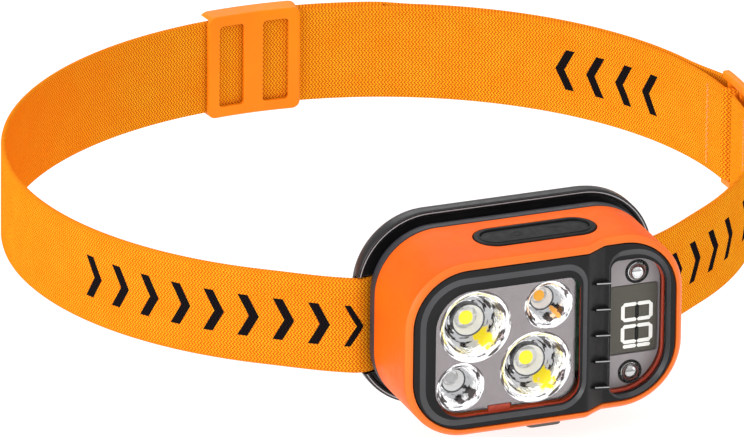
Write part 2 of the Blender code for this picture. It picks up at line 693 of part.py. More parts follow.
def main():
    clear_scene()
    orange = plastic("orange_plastic", (0.95, 0.24, 0.05), 0.4)
    buckle = plastic("buckle_plastic", (0.98, 0.36, 0.03), 0.45)
    black = plastic("black_plastic", (0.02, 0.021, 0.024), 0.45)
    rubber = plastic("black_rubber", (0.035, 0.038, 0.042), 0.7)
    red = plastic("red_silicone", (0.75, 0.08, 0.03), 0.5)
    clear = plastic("clear_lens", (0.95, 0.97, 1.0), 0.05, alpha=0.3)
    chrome = plastic("chrome", (0.85, 0.85, 0.86), 0.08, 1.0)
    steel = plastic("steel", (0.6, 0.6, 0.62), 0.3, 1.0)
    green = plastic("circuit_board", (0.03, 0.18, 0.07), 0.5)
    white = plastic("lamp_board", (0.8, 0.8, 0.78), 0.4)
    blue = plastic("battery_film", (0.1, 0.2, 0.5), 0.3)
    dark = plastic("display_face", (0.15, 0.15, 0.12), 0.25)
    grey = plastic("panel_grey", (0.3, 0.27, 0.26), 0.35)
    phosphor = plastic("phosphor", (0.95, 0.75, 0.1), 0.4)
    clear_led = plastic("clear_led", (0.8, 0.78, 0.76), 0.15)
    foam = plastic("foam", (0.03, 0.026, 0.026), 0.95)
    webbing = plastic("webbing", (1.0, 0.33, 0.02), 0.9)

    make_front_shell(orange)
    make_rear_housing(black)
    make_gasket(rubber)
    make_screws(steel)
    make_bezel(black)
    make_lens("main_lens", MAIN_WINDOW, MAIN_RADII, 0.0, clear, MAIN_LIP)
    main_seal = make_seal("main_lens_seal", MAIN_WINDOW, MAIN_RADII, 0.0, red, 0.3, MAIN_LIP)
    add_seal_tab(main_seal)
    make_lens("display_lens", DISPLAY_WINDOW, DISPLAY_RADII, STEP_DEPTH, clear, DISPLAY_LIP)
    make_seal("display_lens_seal", DISPLAY_WINDOW, DISPLAY_RADII, STEP_DEPTH, red, -0.2, DISPLAY_LIP)
    make_reflector(chrome)
    make_led("spot_led", "spot", 3.6, 1.6, phosphor)
    make_led("flood_led", "flood", 3.6, 1.6, phosphor)
    make_led("amber_led", "amber", 2.8, 1.2, phosphor)
    make_led("red_led", "red", 2.8, 1.2, clear_led)
    make_display(grey, dark, chrome, clear_led)
    make_inside(green, steel, blue, black, white)
    make_button(rubber)
    make_usb_socket(steel)

    make_bracket(black)
    make_pin(steel)
    make_pad(foam)
    ribbon("headband", band_centreline(), webbing)
    make_return_strap(webbing)
    make_ring(buckle)
    make_slider(buckle)

    axis_empty("head_tilt_axis", (0, *HINGE), HEAD_NODES)
    for side, name in ((-1, "power_key"), (1, "sensor_key")):
        place = (BUTTON_CENTRE[0] + side * SWITCH_X, BUTTON_CENTRE[1], BUTTON_TOP)
        axis_empty(name + "_axis", place, [name])
    axis_empty("slider_axis", (0, SLIDER_AXIS_Y, 0), ["slider_buckle"])


main()
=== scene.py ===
"""Looks of the headlamp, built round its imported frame.

Lengths are in millimetres unless a name says otherwise, in the frame's own axes. The origin lies on the
forehead pad's rear face, halfway up the headband. +Y points into the wearer's head, the lamp shines towards
-Y and +Z is up.
"""

import json
import math

import bmesh
import bpy
from mathutils import Matrix, Vector


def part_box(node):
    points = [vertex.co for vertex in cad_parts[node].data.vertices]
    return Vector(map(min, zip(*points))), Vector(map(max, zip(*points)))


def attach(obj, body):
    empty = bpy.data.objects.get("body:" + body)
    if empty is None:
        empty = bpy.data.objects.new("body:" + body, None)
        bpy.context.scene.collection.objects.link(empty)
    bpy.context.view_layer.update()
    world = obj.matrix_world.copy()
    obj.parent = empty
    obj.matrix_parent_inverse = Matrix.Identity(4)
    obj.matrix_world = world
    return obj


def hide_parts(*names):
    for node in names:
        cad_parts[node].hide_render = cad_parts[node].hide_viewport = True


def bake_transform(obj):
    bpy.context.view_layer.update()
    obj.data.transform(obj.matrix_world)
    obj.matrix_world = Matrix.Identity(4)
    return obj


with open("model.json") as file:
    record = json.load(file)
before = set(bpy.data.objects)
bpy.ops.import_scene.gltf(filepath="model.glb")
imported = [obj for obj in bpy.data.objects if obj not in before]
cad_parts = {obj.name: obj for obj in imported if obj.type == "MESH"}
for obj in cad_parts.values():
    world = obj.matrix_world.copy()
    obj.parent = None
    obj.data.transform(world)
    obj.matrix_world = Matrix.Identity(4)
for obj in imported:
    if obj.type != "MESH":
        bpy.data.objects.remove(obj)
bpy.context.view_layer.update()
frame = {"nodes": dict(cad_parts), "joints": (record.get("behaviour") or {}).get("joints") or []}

MM = 0.001
GAP = 0.3                      # what the frame leaves between two touching parts


def corners(node):
    """Lowest and highest corner of a CAD node."""
    low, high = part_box(node)
    return Vector(low) / MM, Vector(high) / MM


def middle(node):
    low, high = corners(node)
    return (low + high) / 2


def front_centre(node):
    """Centre of a node as seen from the front: x and z."""
    return middle(node).x, middle(node).z


# ---------------------------------------------------------------- sizes taken from the frame

SHELL_LOW, SHELL_HIGH = corners("front_shell")
HOUSING_LOW, HOUSING_HIGH = corners("rear_housing")
HEAD_Z = middle("front_shell").z
FRONT_Y, BACK_Y = SHELL_LOW.y, SHELL_HIGH.y
SHELL_BACK = (HOUSING_HIGH.x - HOUSING_LOW.x, SHELL_HIGH.z - SHELL_LOW.z)
SHELL_FRONT = (SHELL_HIGH.x - SHELL_LOW.x, SHELL_BACK[1] - 1.1)
SHELL_RADIUS = 16.0
WALL = 1.75
HOUSING_BACK_Y = -7.6
SCREW_SHANK, SCREW_HEAD = 1.3, 2.4  # radii of a screw's hole and of the counterbore for its head
STEP_DEPTH = corners("display_lens")[0].y - corners("main_lens")[0].y
STEP_X = (10.6, 16.05)         # where the front plane starts and ends its step down to the display
MAIN_LIP, DISPLAY_LIP = 1.0, 0.5    # how far each lens reaches past its window
WIDEST_CORNER = 12.0           # largest corner radius of a recess round a window
MAIN_RADII = (3.5, 9.5, 8.0, 5.0)
DISPLAY_RADII = (8.0, 2.0, 2.0, 11.0)
RIBS_Z = HEAD_Z - 1.5          # middle rib of five
RIB_PITCH = 6.85
RIB_DROP = 0.6                 # each rib falls this much towards the display
SEAL_TAB = (-14.1, -8.4, 1.2)  # from x, to x, and how far it shows above the main window's lower edge
REFLECTOR_Y = corners("reflector")[0].y
CUP_DEPTH = 7.0
# a cup's rim and mouth radius
CUPS = {"spot_led": (9.1, 3.4), "flood_led": (9.1, 3.4), "amber_led": (6.05, 2.5), "red_led": (6.05, 2.5)}

PLATE_LOW = corners("bracket_plate")[0]
PAD_LOW, PAD_HIGH = corners("forehead_pad")
PLATE_SIZE = (78.0, 50.7)
PLATE_Z = (PAD_LOW.z + PAD_HIGH.z) / 2
PLATE_RADIUS = 19.0
PLATE_Y = (-6.0, -2.7)
BAR_FRONT_Y = -3.85            # front of the bar that the webbing passes over
SLOT_X = (29.6, 35.2)
JOINTS = {joint["name"]: joint for joint in frame["joints"]}
HINGE = tuple(value / MM for value in JOINTS["head_tilt"]["pos_m"][1:])
PIN_HOLE = 1.3                 # radius
KNUCKLE_HALF = 14.0            # half the width of the housing's knuckle and its gap
LUG_WIDTH = 3.2

BAND_LOW, BAND_HIGH = corners("headband")
BAND_WIDTH = BAND_HIGH.z - BAND_LOW.z
BAND_THICKNESS = 1.2
LOOP_X, LOOP_Y = 94.2, 90.0
LOOP_CENTRE_Y = 79.2
RING_ANGLES = (88.0, 92.9)     # the two ring bars, in degrees round from the back
RING_OFFSET = 2.4
SLIDER_LENGTH = 25.6
SLIDER_HEIGHT = 27.6
SLIDER_BAR = 3.2
SLIDER_SLOT = (7.0, 22.0)

ROUND = 18                     # points on a quarter turn of a large corner


def window(node, lip):
    """Opening in front of a lens, as left, right, bottom and top."""
    low, high = corners(node)
    return low.x + lip, high.x - lip, low.z + lip, high.z - lip


MAIN_WINDOW = window("main_lens", MAIN_LIP)
DISPLAY_WINDOW = window("display_lens", DISPLAY_LIP)


# ---------------------------------------------------------------- camera, light and floor

def add(obj):
    bpy.context.scene.collection.objects.link(obj)
    return obj


AIM = (-1.61, -8.62)           # where the camera looks, right of and above the middle of the loop
CAMERA_DISTANCE = 3872.9


def make_camera():
    """A long lens, because the strap shows almost no perspective."""
    azimuth, elevation, roll = math.radians(-21.41), math.radians(22.12), math.radians(0.56)
    back = Vector((math.sin(azimuth) * math.cos(elevation), -math.cos(azimuth) * math.cos(elevation),
                   math.sin(elevation)))
    right = Vector((math.cos(azimuth), math.sin(azimuth), 0.0))
    up = back.cross(right)
    rolled_right = right * math.cos(roll) + up * math.sin(roll)
    rolled_up = up * math.cos(roll) - right * math.sin(roll)
    aim = Vector((0, LOOP_CENTRE_Y, 0)) + rolled_right * AIM[0] + rolled_up * AIM[1]
    camera = bpy.data.cameras.new("camera")
    camera.lens = 750.0
    camera.clip_end = 20.0
    obj = add(bpy.data.objects.new("camera", camera))
    obj.matrix_world = Matrix.Translation((aim + back * CAMERA_DISTANCE) * MM) @ Matrix(
        (rolled_right, rolled_up, back)).transposed().to_4x4()
    bpy.context.scene.camera = obj


def area_light(name, azimuth, elevation, distance, size, watts):
    """Round soft light aimed at the middle of the loop, with its distance and size in metres.

    Azimuth runs from straight in front to the viewer's right.
    """
    a, e = math.radians(azimuth), math.radians(elevation)
    toward = Vector((math.sin(a) * math.cos(e), -math.cos(a) * math.cos(e), math.sin(e)))
    light = bpy.data.lights.new(name, "AREA")
    light.shape = "DISK"
    light.size = size
    light.energy = watts
    obj = add(bpy.data.objects.new(name, light))
    obj.location = (Vector((0, LOOP_CENTRE_Y, 0)) * MM) + toward * distance
    obj.rotation_euler = toward.to_track_quat("Z", "Y").to_euler()


LIGHTS = {                     # azimuth, elevation, distance, size, watts
    "key": (-78, 22, 1.1, 0.7, 6.8),
    "fill": (50, 20, 1.2, 0.8, 2.2),
    "top": (-10, 80, 1.0, 0.9, 0.5),
    "rear": (170, 35, 1.2, 0.8, 2.2),
}
FLOOR_HALF = 12000.0


def make_studio():
    for name, values in LIGHTS.items():
        area_light(name, *values)
    world = bpy.data.worlds.new("studio")
    world.use_nodes = True
    tree = world.node_tree
    sky = tree.nodes["Background"]
    sky.inputs["Color"].default_value = (1.0, 1.0, 1.0, 1.0)
    split = tree.nodes.new("ShaderNodeSeparateXYZ")
    rise = tree.nodes.new("ShaderNodeMapRange")
    rise.inputs["From Max"].default_value = 0.8
    rise.inputs["To Min"].default_value = 0.4
    rise.inputs["To Max"].default_value = 1.0
    tree.links.new(tree.nodes.new("ShaderNodeTexCoord").outputs["Generated"], split.inputs[0])
    tree.links.new(split.outputs["Z"], rise.inputs["Value"])
    tree.links.new(rise.outputs[0], sky.inputs["Strength"])
    bpy.context.scene.world = world
    bpy.context.scene.view_settings.view_transform = "Standard"
    paper = plain("floor_paper", (0.3, 0.3, 0.3), 0.95, Specular_IOR_Level=0.0,
                  Emission_Color=(1.0, 1.0, 1.0, 1.0), Emission_Strength=0.86)
    signs = ((-1, -1), (1, -1), (1, 1), (-1, 1))
    ends = [(x * FLOOR_HALF, y * FLOOR_HALF, PLATE_LOW.z - GAP) for x, y in signs]
    floor = solid(ends, [(0, 1, 2, 3)], paper)
    floor.name = "floor"


# ---------------------------------------------------------------- materials

def plain(name, colour, roughness, metallic=0.0, **sockets):
    """Principled material; sockets names any further shader input, with _ for a space."""
    mat = bpy.data.materials.new(name)
    mat.use_nodes = True
    shader = mat.node_tree.nodes["Principled BSDF"]
    shader.inputs["Base Color"].default_value = (*colour, 1.0)
    shader.inputs["Roughness"].default_value = roughness
    shader.inputs["Metallic"].default_value = metallic
    for socket, value in sockets.items():
        shader.inputs[socket.replace("_", " ")].default_value = value
    return mat


class Nodes:
    """Short way to add and join nodes of one material."""

    def __init__(self, mat):
        self.tree = mat.node_tree
        self.shader = self.tree.nodes["Principled BSDF"]
        self.normal = None
        metres = self.add("TexCoord").outputs["Object"]
        self.where = self.scaled((1000.0,) * 3, metres)        # position on the piece in millimetres

    def link(self, value, socket):
        if isinstance(value, bpy.types.NodeSocket):
            self.tree.links.new(value, socket)
        else:
            socket.default_value = value

    def add(self, kind, *values, **settings):
        """New node with its settings, and its inputs in order from sockets or numbers."""
        made = self.tree.nodes.new("ShaderNode" + kind)
        for key, value in settings.items():
            setattr(made, key, value)
        for value, socket in zip(values, made.inputs):
            self.link(value, socket)
        return made

    def math(self, operation, *values):
        return self.add("Math", *values, operation=operation).outputs[0]

    def squares(self, first, second):
        """Sum of two squares."""
        return self.math("ADD", self.math("MULTIPLY", first, first), self.math("MULTIPLY", second, second))

    def scaled(self, factors, where=None):
        return self.add("VectorMath", where or self.where, factors, operation="MULTIPLY").outputs[0]

    def noise(self, scale, detail=2.0, rough=0.5, where=None):
        made = self.add("TexNoise")
        self.link(where or self.where, made.inputs["Vector"])
        made.inputs["Scale"].default_value = scale
        made.inputs["Detail"].default_value = detail
        made.inputs["Roughness"].default_value = rough
        return made.outputs[0]

    def spread(self, value, low, high, to_low=0.0, to_high=1.0):
        """Maps a value from one range to another and clamps it there."""
        return self.add("MapRange", value, low, high, to_low, to_high).outputs[0]

    def mix(self, share, first, second):
        """Colour between first and second."""
        made = self.add("Mix", data_type="RGBA")
        self.link(share, made.inputs["Factor"])
        for value, socket in ((first, made.inputs[6]), (second, made.inputs[7])):
            self.link(value if isinstance(value, bpy.types.NodeSocket) else (*value, 1.0), socket)
        return made.outputs[2]

    def colour(self, value):
        self.link(value, self.shader.inputs["Base Color"])

    def roughness(self, value):
        self.link(value, self.shader.inputs["Roughness"])

    def bump(self, height, distance, strength=1.0):
        """Adds relief of a height from 0 to 1; distance is its depth in millimetres."""
        made = self.add("Bump")
        made.inputs["Strength"].default_value = strength
        made.inputs["Distance"].default_value = distance * MM
        self.link(height, made.inputs["Height"])
        if self.normal:
            self.link(self.normal, made.inputs["Normal"])
        self.normal = made.outputs[0]
        self.link(self.normal, self.shader.inputs["Normal"])

    def soft_edges(self, radius):
        """Rounds the look of sharp edges; returns a mask that is 1 on them."""
        bevel = self.add("Bevel")
        bevel.samples = 6
        bevel.inputs["Radius"].default_value = radius * MM
        flat = self.add("NewGeometry").outputs["Normal"]
        same = self.add("VectorMath", bevel.outputs[0], flat, operation="DOT_PRODUCT").outputs["Value"]
        self.normal = bevel.outputs[0]
        self.link(self.normal, self.shader.inputs["Normal"])
        return self.spread(same, 0.995, 0.9)


def moulded(name, colour, second, roughness, edge, grain=6.0, depth=0.012, radius=0.2, **sockets):
    """Moulded plastic or rubber: fine texture, a slow drift of colour, and worn, lighter edges."""
    mat = plain(name, colour, roughness, **sockets)
    nodes = Nodes(mat)
    worn = nodes.soft_edges(radius)
    base = nodes.mix(nodes.spread(nodes.noise(0.06, 3.0), 0.35, 0.65), colour, second)
    lighter_edge = nodes.math("MULTIPLY", worn, nodes.spread(nodes.noise(0.8, 3.0), 0.35, 0.6, 0.3, 1.0))
    nodes.colour(nodes.mix(lighter_edge, base, edge))
    nodes.roughness(nodes.spread(nodes.noise(0.5, 4.0), 0.3, 0.7, roughness - 0.06, roughness + 0.06))
    nodes.bump(nodes.noise(grain, 3.0), depth)
    return mat


def machined(name, colour, roughness):
    """Metal with fine drawn lines and faint smudges."""
    mat = plain(name, colour, roughness, 1.0)
    nodes = Nodes(mat)
    nodes.soft_edges(0.08)
    lines = nodes.noise(2.0, 3.0, where=nodes.scaled((0.15, 3.0, 3.0)))
    nodes.colour(nodes.mix(nodes.spread(lines, 0.3, 0.7), tuple(0.8 * c for c in colour), colour))
    nodes.roughness(nodes.spread(nodes.noise(0.4, 3.0), 0.3, 0.7, roughness * 0.7, roughness * 1.4))
    nodes.bump(lines, 0.004)
    return mat


# ---------------------------------------------------------------- mesh helpers

def shade(mesh):
    """Smooth shading, with a crease where faces meet at a clear angle."""
    mesh.shade_smooth()
    mesh.set_sharp_from_angle(angle=math.radians(32))


def solid(points, faces, mat=None):
    """One mesh object from points in millimetres."""
    form = bmesh.new()
    verts = [form.verts.new(Vector(p) * MM) for p in points]
    for face in faces:
        form.faces.new([verts[i] for i in face])
    bmesh.ops.recalc_face_normals(form, faces=form.faces)
    mesh = bpy.data.meshes.new("part")
    form.to_mesh(mesh)
    form.free()
    if mat:
        mesh.materials.append(mat)
    shade(mesh)
    return add(bpy.data.objects.new("part", mesh))


def loft(loops, mat=None, closed=False):
    """Skins matching loops of points; open ends are capped, closed joins the last loop to the first."""
    count = len(loops[0])
    points = [p for loop in loops for p in loop]
    last = len(loops) if closed else len(loops) - 1
    faces = []
    for i in range(last):
        a, b = i * count, ((i + 1) % len(loops)) * count
        for k in range(count):
            n = (k + 1) % count
            faces.append((a + k, a + n, b + n, b + k))
    if not closed:
        faces.append(tuple(range(count)))
        faces.append(tuple((len(loops) - 1) * count + k for k in range(count)))
    return solid(points, faces, mat)


def apply_boolean(obj, tool, operation):
    mod = obj.modifiers.new(operation, "BOOLEAN")
    mod.operation = operation
    mod.solver = "EXACT"
    mod.object = tool
    bpy.context.view_layer.update()
    mesh = bpy.data.meshes.new_from_object(obj.evaluated_get(bpy.context.evaluated_depsgraph_get()))
    mesh.name = obj.name
    obj.modifiers.clear()
    obj.data = mesh
    bpy.data.objects.remove(tool)
    shade(mesh)


def cut(obj, *tools):
    for tool in tools:
        apply_boolean(obj, tool, "DIFFERENCE")


def fuse(obj, *tools):
    for tool in tools:
        apply_boolean(obj, tool, "UNION")


def join(name, parts):
    """Joins separate meshes into one piece; shared materials keep their faces."""
    form = bmesh.new()
    mats = []
    for part in parts:
        slots = []
        for mat in part.data.materials:
            if mat not in mats:
                mats.append(mat)
            slots.append(mats.index(mat))
        start = len(form.faces)
        form.from_mesh(part.data)
        form.faces.ensure_lookup_table()
        for face in form.faces[start:]:
            face.material_index = slots[face.material_index]
    mesh = bpy.data.meshes.new(name)
    form.to_mesh(mesh)
    form.free()
    for mat in mats:
        mesh.materials.append(mat)
    for part in parts:
        bpy.data.objects.remove(part)
    return add(bpy.data.objects.new(name, mesh))


def stand_for(piece, node, body="head"):
    """Makes a piece the visible form of a CAD node on its body."""
    piece.name = node + "_visual"
    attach(piece, body)
    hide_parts(node)


def rounded(width, height, radii, centre=(0.0, 0.0), steps=ROUND, breaks=()):
    """Outline of a rounded rectangle.

    radii is one number, or top right, top left, bottom left, bottom right. breaks are extra points along x.
    """
    if not isinstance(radii, tuple):
        radii = (radii,) * 4
    signs = ((1, 1), (-1, 1), (-1, -1), (1, -1))
    points = []
    for corner, ((sx, sz), r) in enumerate(zip(signs, radii)):
        cx = centre[0] + sx * (width / 2 - r)
        cz = centre[1] + sz * (height / 2 - r)
        for k in range(steps + 1):
            angle = math.radians(90 * corner + 90 * k / steps)
            points.append((cx + r * math.cos(angle), cz + r * math.sin(angle)))
        if corner == 0:
            points += [(x, centre[1] + height / 2) for x in sorted(breaks, reverse=True)]
        if corner == 2:
            points += [(x, centre[1] - height / 2) for x in sorted(breaks)]
    return points


def box_outline(box, radii, grow=0.0, steps=10):
    """Rounded outline of a left, right, bottom, top box, grown outwards."""
    left, right, low, high = box
    radii = tuple(r + grow for r in radii) if isinstance(radii, tuple) else radii + grow
    centre = ((left + right) / 2, (low + high) / 2)
    return rounded(right - left + 2 * grow, high - low + 2 * grow, radii, centre, steps)


def stacked(outline, rows, axis="Y"):
    """Loops along an axis: each row is how far outline grows there, and the place on the axis."""
    loops = []
    for grow, place in rows:
        if axis == "Y":
            loops.append([(a, place, b) for a, b in outline(grow)])
        else:
            loops.append([(a, b, place) for a, b in outline(grow)])
    return loops


def prism(outline, y0, y1, mat=None):
    """Straight solid along Y from an outline in x and z."""
    return loft([[(x, y, z) for x, z in outline] for y in (y0, y1)], mat)


def column(outline, z0, z1, mat=None):
    """Straight solid along Z from an outline in x and y."""
    return loft([[(x, y, z) for x, y in outline] for z in (z0, z1)], mat)


def block(low, high, mat=None):
    (x0, y0, z0), (x1, y1, z1) = low, high
    return column([(x0, y0), (x1, y0), (x1, y1), (x0, y1)], z0, z1, mat)


def turned(profile, centre, mat=None, axis="Y", sides=64, closed=False):
    """A turned solid from radius and height pairs; the axis runs through centre."""
    loops = []
    for radius, height in profile:
        ring = []
        for k in range(sides):
            angle = 2 * math.pi * k / sides
            a, b = radius * math.cos(angle), radius * math.sin(angle)
            if axis == "X":
                ring.append((height, centre[0] + a, centre[1] + b))
            elif axis == "Y":
                ring.append((centre[0] + a, height, centre[1] + b))
            else:
                ring.append((centre[0] + a, centre[1] + b, height))
        loops.append(ring)
    return loft(loops, mat, closed)


def rod(centre, radius, start, end, mat=None, axis="Y", sides=48):
    return turned([(radius, start), (radius, end)], centre, mat, axis, sides)


def arc(centre, radii, start, end, steps=6):
    """Points on an elliptical arc; angles in degrees."""
    points = []
    for k in range(steps + 1):
        angle = math.radians(start + (end - start) * k / steps)
        points.append((centre[0] + radii[0] * math.cos(angle), centre[1] + radii[1] * math.sin(angle)))
    return points


def dome(radius, base, top):
    """Profile of a dome that rises from base to top."""
    return arc((0, base), (radius, top - base), 0, 86, 10)


# ---------------------------------------------------------------- lamp head: shell, housing and front frame

def soft_positive(value, radius=0.4):
    """Zero below nought and the value itself above, with the corner between them rounded."""
    return (value + math.sqrt(value * value + radius * radius)) / 2


def step_at(x):
    """How far the front plane lies back at this x: nothing at the lamps' side, more at the display."""
    run = STEP_X[1] - STEP_X[0]
    return STEP_DEPTH * (soft_positive(x - STEP_X[0]) - soft_positive(x - STEP_X[1])) / run


STEP_BREAKS = [STEP_X[0] - 2 + 0.4 * k for k in range(24)]


def shell_loop(depth, inset, along=0.0):
    """Outline of the shell: along runs from 0 at the front lip to 1 at the back edge."""
    width = SHELL_FRONT[0] + (SHELL_BACK[0] - SHELL_FRONT[0]) * along - 2 * inset
    height = SHELL_FRONT[1] + (SHELL_BACK[1] - SHELL_FRONT[1]) * along - 2 * inset
    outline = rounded(width, height, SHELL_RADIUS - inset, (0, HEAD_Z), breaks=STEP_BREAKS)
    points = []
    for x, z in outline:
        front = FRONT_Y + depth + step_at(x)
        points.append((x, front + (BACK_Y - front) * along, z))
    return points


def housing_loop(y, inset):
    outline = rounded(SHELL_BACK[0] - 2 * inset, SHELL_BACK[1] - 2 * inset, SHELL_RADIUS - inset, (0, HEAD_Z))
    return [(x, y, z) for x, z in outline]


def screw_places():
    return [front_centre(name) for name in frame["nodes"] if name.startswith("housing_screw")]


def usb_outline(grow):
    low, high = corners("usb_socket")
    size = (high.x - low.x + 2 * grow, high.y - low.y + 2 * grow)
    return rounded(*size, size[1] / 2 - 0.05, ((low.x + high.x) / 2, (low.y + high.y) / 2), steps=10)


KEY_LOW, KEY_HIGH = corners("button_pad")
BUTTON_CENTRE = ((KEY_LOW.x + KEY_HIGH.x) / 2, (KEY_LOW.y + KEY_HIGH.y) / 2)
BUTTON_SIZE = (KEY_HIGH.x - KEY_LOW.x - 1.6, KEY_HIGH.y - KEY_LOW.y - 1.6)
BUTTON_TOP = KEY_HIGH.z


def button_outline(grow):
    length, width = BUTTON_SIZE[0] + 2 * grow, BUTTON_SIZE[1] + 2 * grow
    return rounded(length, width, width / 2 - 0.02, BUTTON_CENTRE, steps=20)


def make_front_shell(mat, lit_lip_mat):
    # rows: depth behind the lip, inset, and share of the way to the back edge
    lip = [(0.5, WALL), (0.15, WALL - 0.04), (0.03, WALL - 0.14), (0.0, WALL - 0.3)]
    chamfer = [(0.0, 1.2), (0.03, 1.08), (0.1, 0.98), (1.02, 0.12), (1.14, 0.04), (1.32, 0.0)]
    side = [(0.0, 0.0, 0.15), (0.0, 0.0, 0.4), (0.0, 0.0, 0.7), (0.0, 0.0, 0.985), (0.0, 0.12, 1.0)]
    rows = [(*row, 0.0) for row in lip + chamfer] + side + [(0.0, WALL, 1.0)]
    shell = loft([shell_loop(*row) for row in rows], mat, closed=True)
    shell.data.materials.append(lit_lip_mat)
    # faces pointing forward take the lighter lip orange: painted highlight
    for face in shell.data.polygons:
        face.material_index = int(face.normal.y < -0.3)
    fuse(shell, *[rod(place, 3.4, -22.0, -14.3) for place in screw_places()])
    cut(shell, *[rod(place, SCREW_SHANK, -21.0, -13.3) for place in screw_places()])
    cut(shell, column(button_outline(GAP), 20.0, 30.0))
    cut(shell, column(usb_outline(GAP), -24.0, -16.9))
    stand_for(shell, "front_shell")


def make_rear_housing(mat):
    # rows: place along Y and inset
    start = BACK_Y + GAP
    back = HOUSING_BACK_Y
    edge = [(back - 1.3 + y, inset) for y, inset in ((0.0, 0.0), (0.3, 0.05), (0.65, 0.25), (0.95, 0.6))]
    rows = [(start, 1.9), (start, 0.25), (start + 0.1, 0.06), (start + 0.3, 0.0)] + edge
    rows += [(back - 0.1, 1.1), (back, 1.7)]
    housing = loft([housing_loop(*row) for row in rows], mat)
    cut(housing, loft([housing_loop(y, 4.2) for y in (-11.5, -9.4)]))
    spigot = [(-14.0, 3.05), (-14.0, 4.2), (-10.8, 4.2), (-10.8, 3.05)]
    fuse(housing, loft([housing_loop(*row) for row in spigot], closed=True))
    fuse(housing, *[rod(place, 1.9, -13.99, -9.0) for place in screw_places()])
    y, z = HINGE
    inner = KNUCKLE_HALF - GAP
    profile = [(2.1, -inner), (2.4, -inner + 0.3), (2.4, inner - 0.3), (2.1, inner)]
    fuse(housing, turned(profile, HINGE, axis="X"))
    fuse(housing, block((-inner + 0.3, y - 1.7, z), (inner - 0.3, y + 1.4, HEAD_Z - 22.6)))
    cut(housing, rod(HINGE, PIN_HOLE, -40, 40, axis="X"))
    counterbore = [(SCREW_SHANK, -15), (SCREW_SHANK, -9.3), (SCREW_HEAD, -9.3), (SCREW_HEAD, -7)]
    cut(housing, *[turned(counterbore, place) for place in screw_places()])
    cut(housing, loft([housing_loop(y, 15.0) for y in (back - 0.35, back + 1)]))
    stand_for(housing, "rear_housing")


def dish(bezel, hole, radii, back, spread, lip):
    """Cuts one window: a chamfered recess, the opening, and a rebate behind it for the lens and its seal.

    spread is how far the recess reaches past the window on the left, right, bottom and top.
    """
    left, right, low, high = hole
    out = (left - spread[0], right + spread[1], low - spread[2], high + spread[3])
    # how far the slope runs in from the recess's edge, in the same order
    shrink = (1.9, 0.7, 1.0, 2.0) if back == 0.0 else (0.6, 0.6, 0.6, 1.8)
    floor = (out[0] + shrink[0], out[1] - shrink[1], out[2] + shrink[2], out[3] - shrink[3])
    wide = tuple(min(r + 2.2, WIDEST_CORNER) for r in radii)
    near = tuple(r + 1.0 for r in radii)
    plane = FRONT_Y + back + 0.25
    slope = [box_outline(out, wide), box_outline(out, wide), box_outline(floor, near)]
    depths = (plane - 1.0, plane, plane + 1.0)
    recess = loft([[(x, y, z) for x, z in ring] for ring, y in zip(slope, depths)])
    # slanted faces of the recess become the bezel's lighter second black once cut: painted highlight on the
    # slope
    for face in recess.data.polygons:
        face.material_index = int(0.2 < abs(face.normal.y) < 0.95)
    cut(bezel, recess)
    cut(bezel, prism(box_outline(hole, radii), plane - 2, plane + 9))
    pocket = FRONT_Y + back + 1.8
    cut(bezel, prism(box_outline(hole, radii, lip + GAP), pocket, pocket + 9))


def make_bezel(mat, lit_slope_mat, highlight_grey_mat):
    """Black front frame: one stepped plate, a dished recess and a window on each side of the ribs."""
    rim = WALL + GAP
    outline = rounded(SHELL_FRONT[0] - 2 * rim, SHELL_FRONT[1] - 2 * rim, SHELL_RADIUS - rim, (0, HEAD_Z))
    front, thick = FRONT_Y + 0.25, 4.05
    xs = [-50] + STEP_BREAKS + [50]
    stepped = [(x, front + step_at(x)) for x in xs]
    stepped += [(50, front + STEP_DEPTH + thick), (STEP_X[1] - 1.5, front + STEP_DEPTH + thick),
                (STEP_X[0] - 1.5, front + thick), (-50, front + thick)]
    bezel = prism(outline, FRONT_Y - 1, FRONT_Y + 12, mat)
    apply_boolean(bezel, column(stepped, -40, 40), "INTERSECT")
    for extra in (lit_slope_mat, highlight_grey_mat):
        bezel.data.materials.append(extra)
    for rib in range(-2, 3):
        z = RIBS_Z + rib * RIB_PITCH
        # the rib's two ends: place along X, front face and top edge
        ends = ((12.9, front + 0.5, z + RIB_DROP / 2), (16.9, front + 1.1, z - RIB_DROP / 2))
        fin = loft([[(x, y, top - 0.7), (x, front + 4.4, top - 0.7), (x, front + 4.4, top),
                     (x, y + 0.2, top), (x, y, top - 0.2)] for x, y, top in ends])
        # rib faces that look up and forward take the grey third material: painted highlight
        for face in fin.data.polygons:
            face.material_index = 2 * int(face.normal.y < -0.4 and face.normal.z > 0.4)
        fuse(bezel, fin)
    dish(bezel, MAIN_WINDOW, MAIN_RADII, 0.0, (4.5, 1.3, 1.3, 4.0), MAIN_LIP)
    dish(bezel, DISPLAY_WINDOW, DISPLAY_RADII, STEP_DEPTH, (0.9, 0.9, 0.9, 3.0), DISPLAY_LIP)
    cut(bezel, column(usb_outline(GAP), -24.0, -16.95))
    stand_for(bezel, "front_bezel")


def make_lens(node, hole, radii, mat, lip):
    low, high = corners(node)
    rows = [(lip - 0.25, low.y), (lip, low.y + 0.25), (lip, high.y - 0.1), (lip - 0.1, high.y)]
    loops = stacked(lambda grow: box_outline(hole, radii, grow), rows)
    stand_for(loft(loops, mat), node)


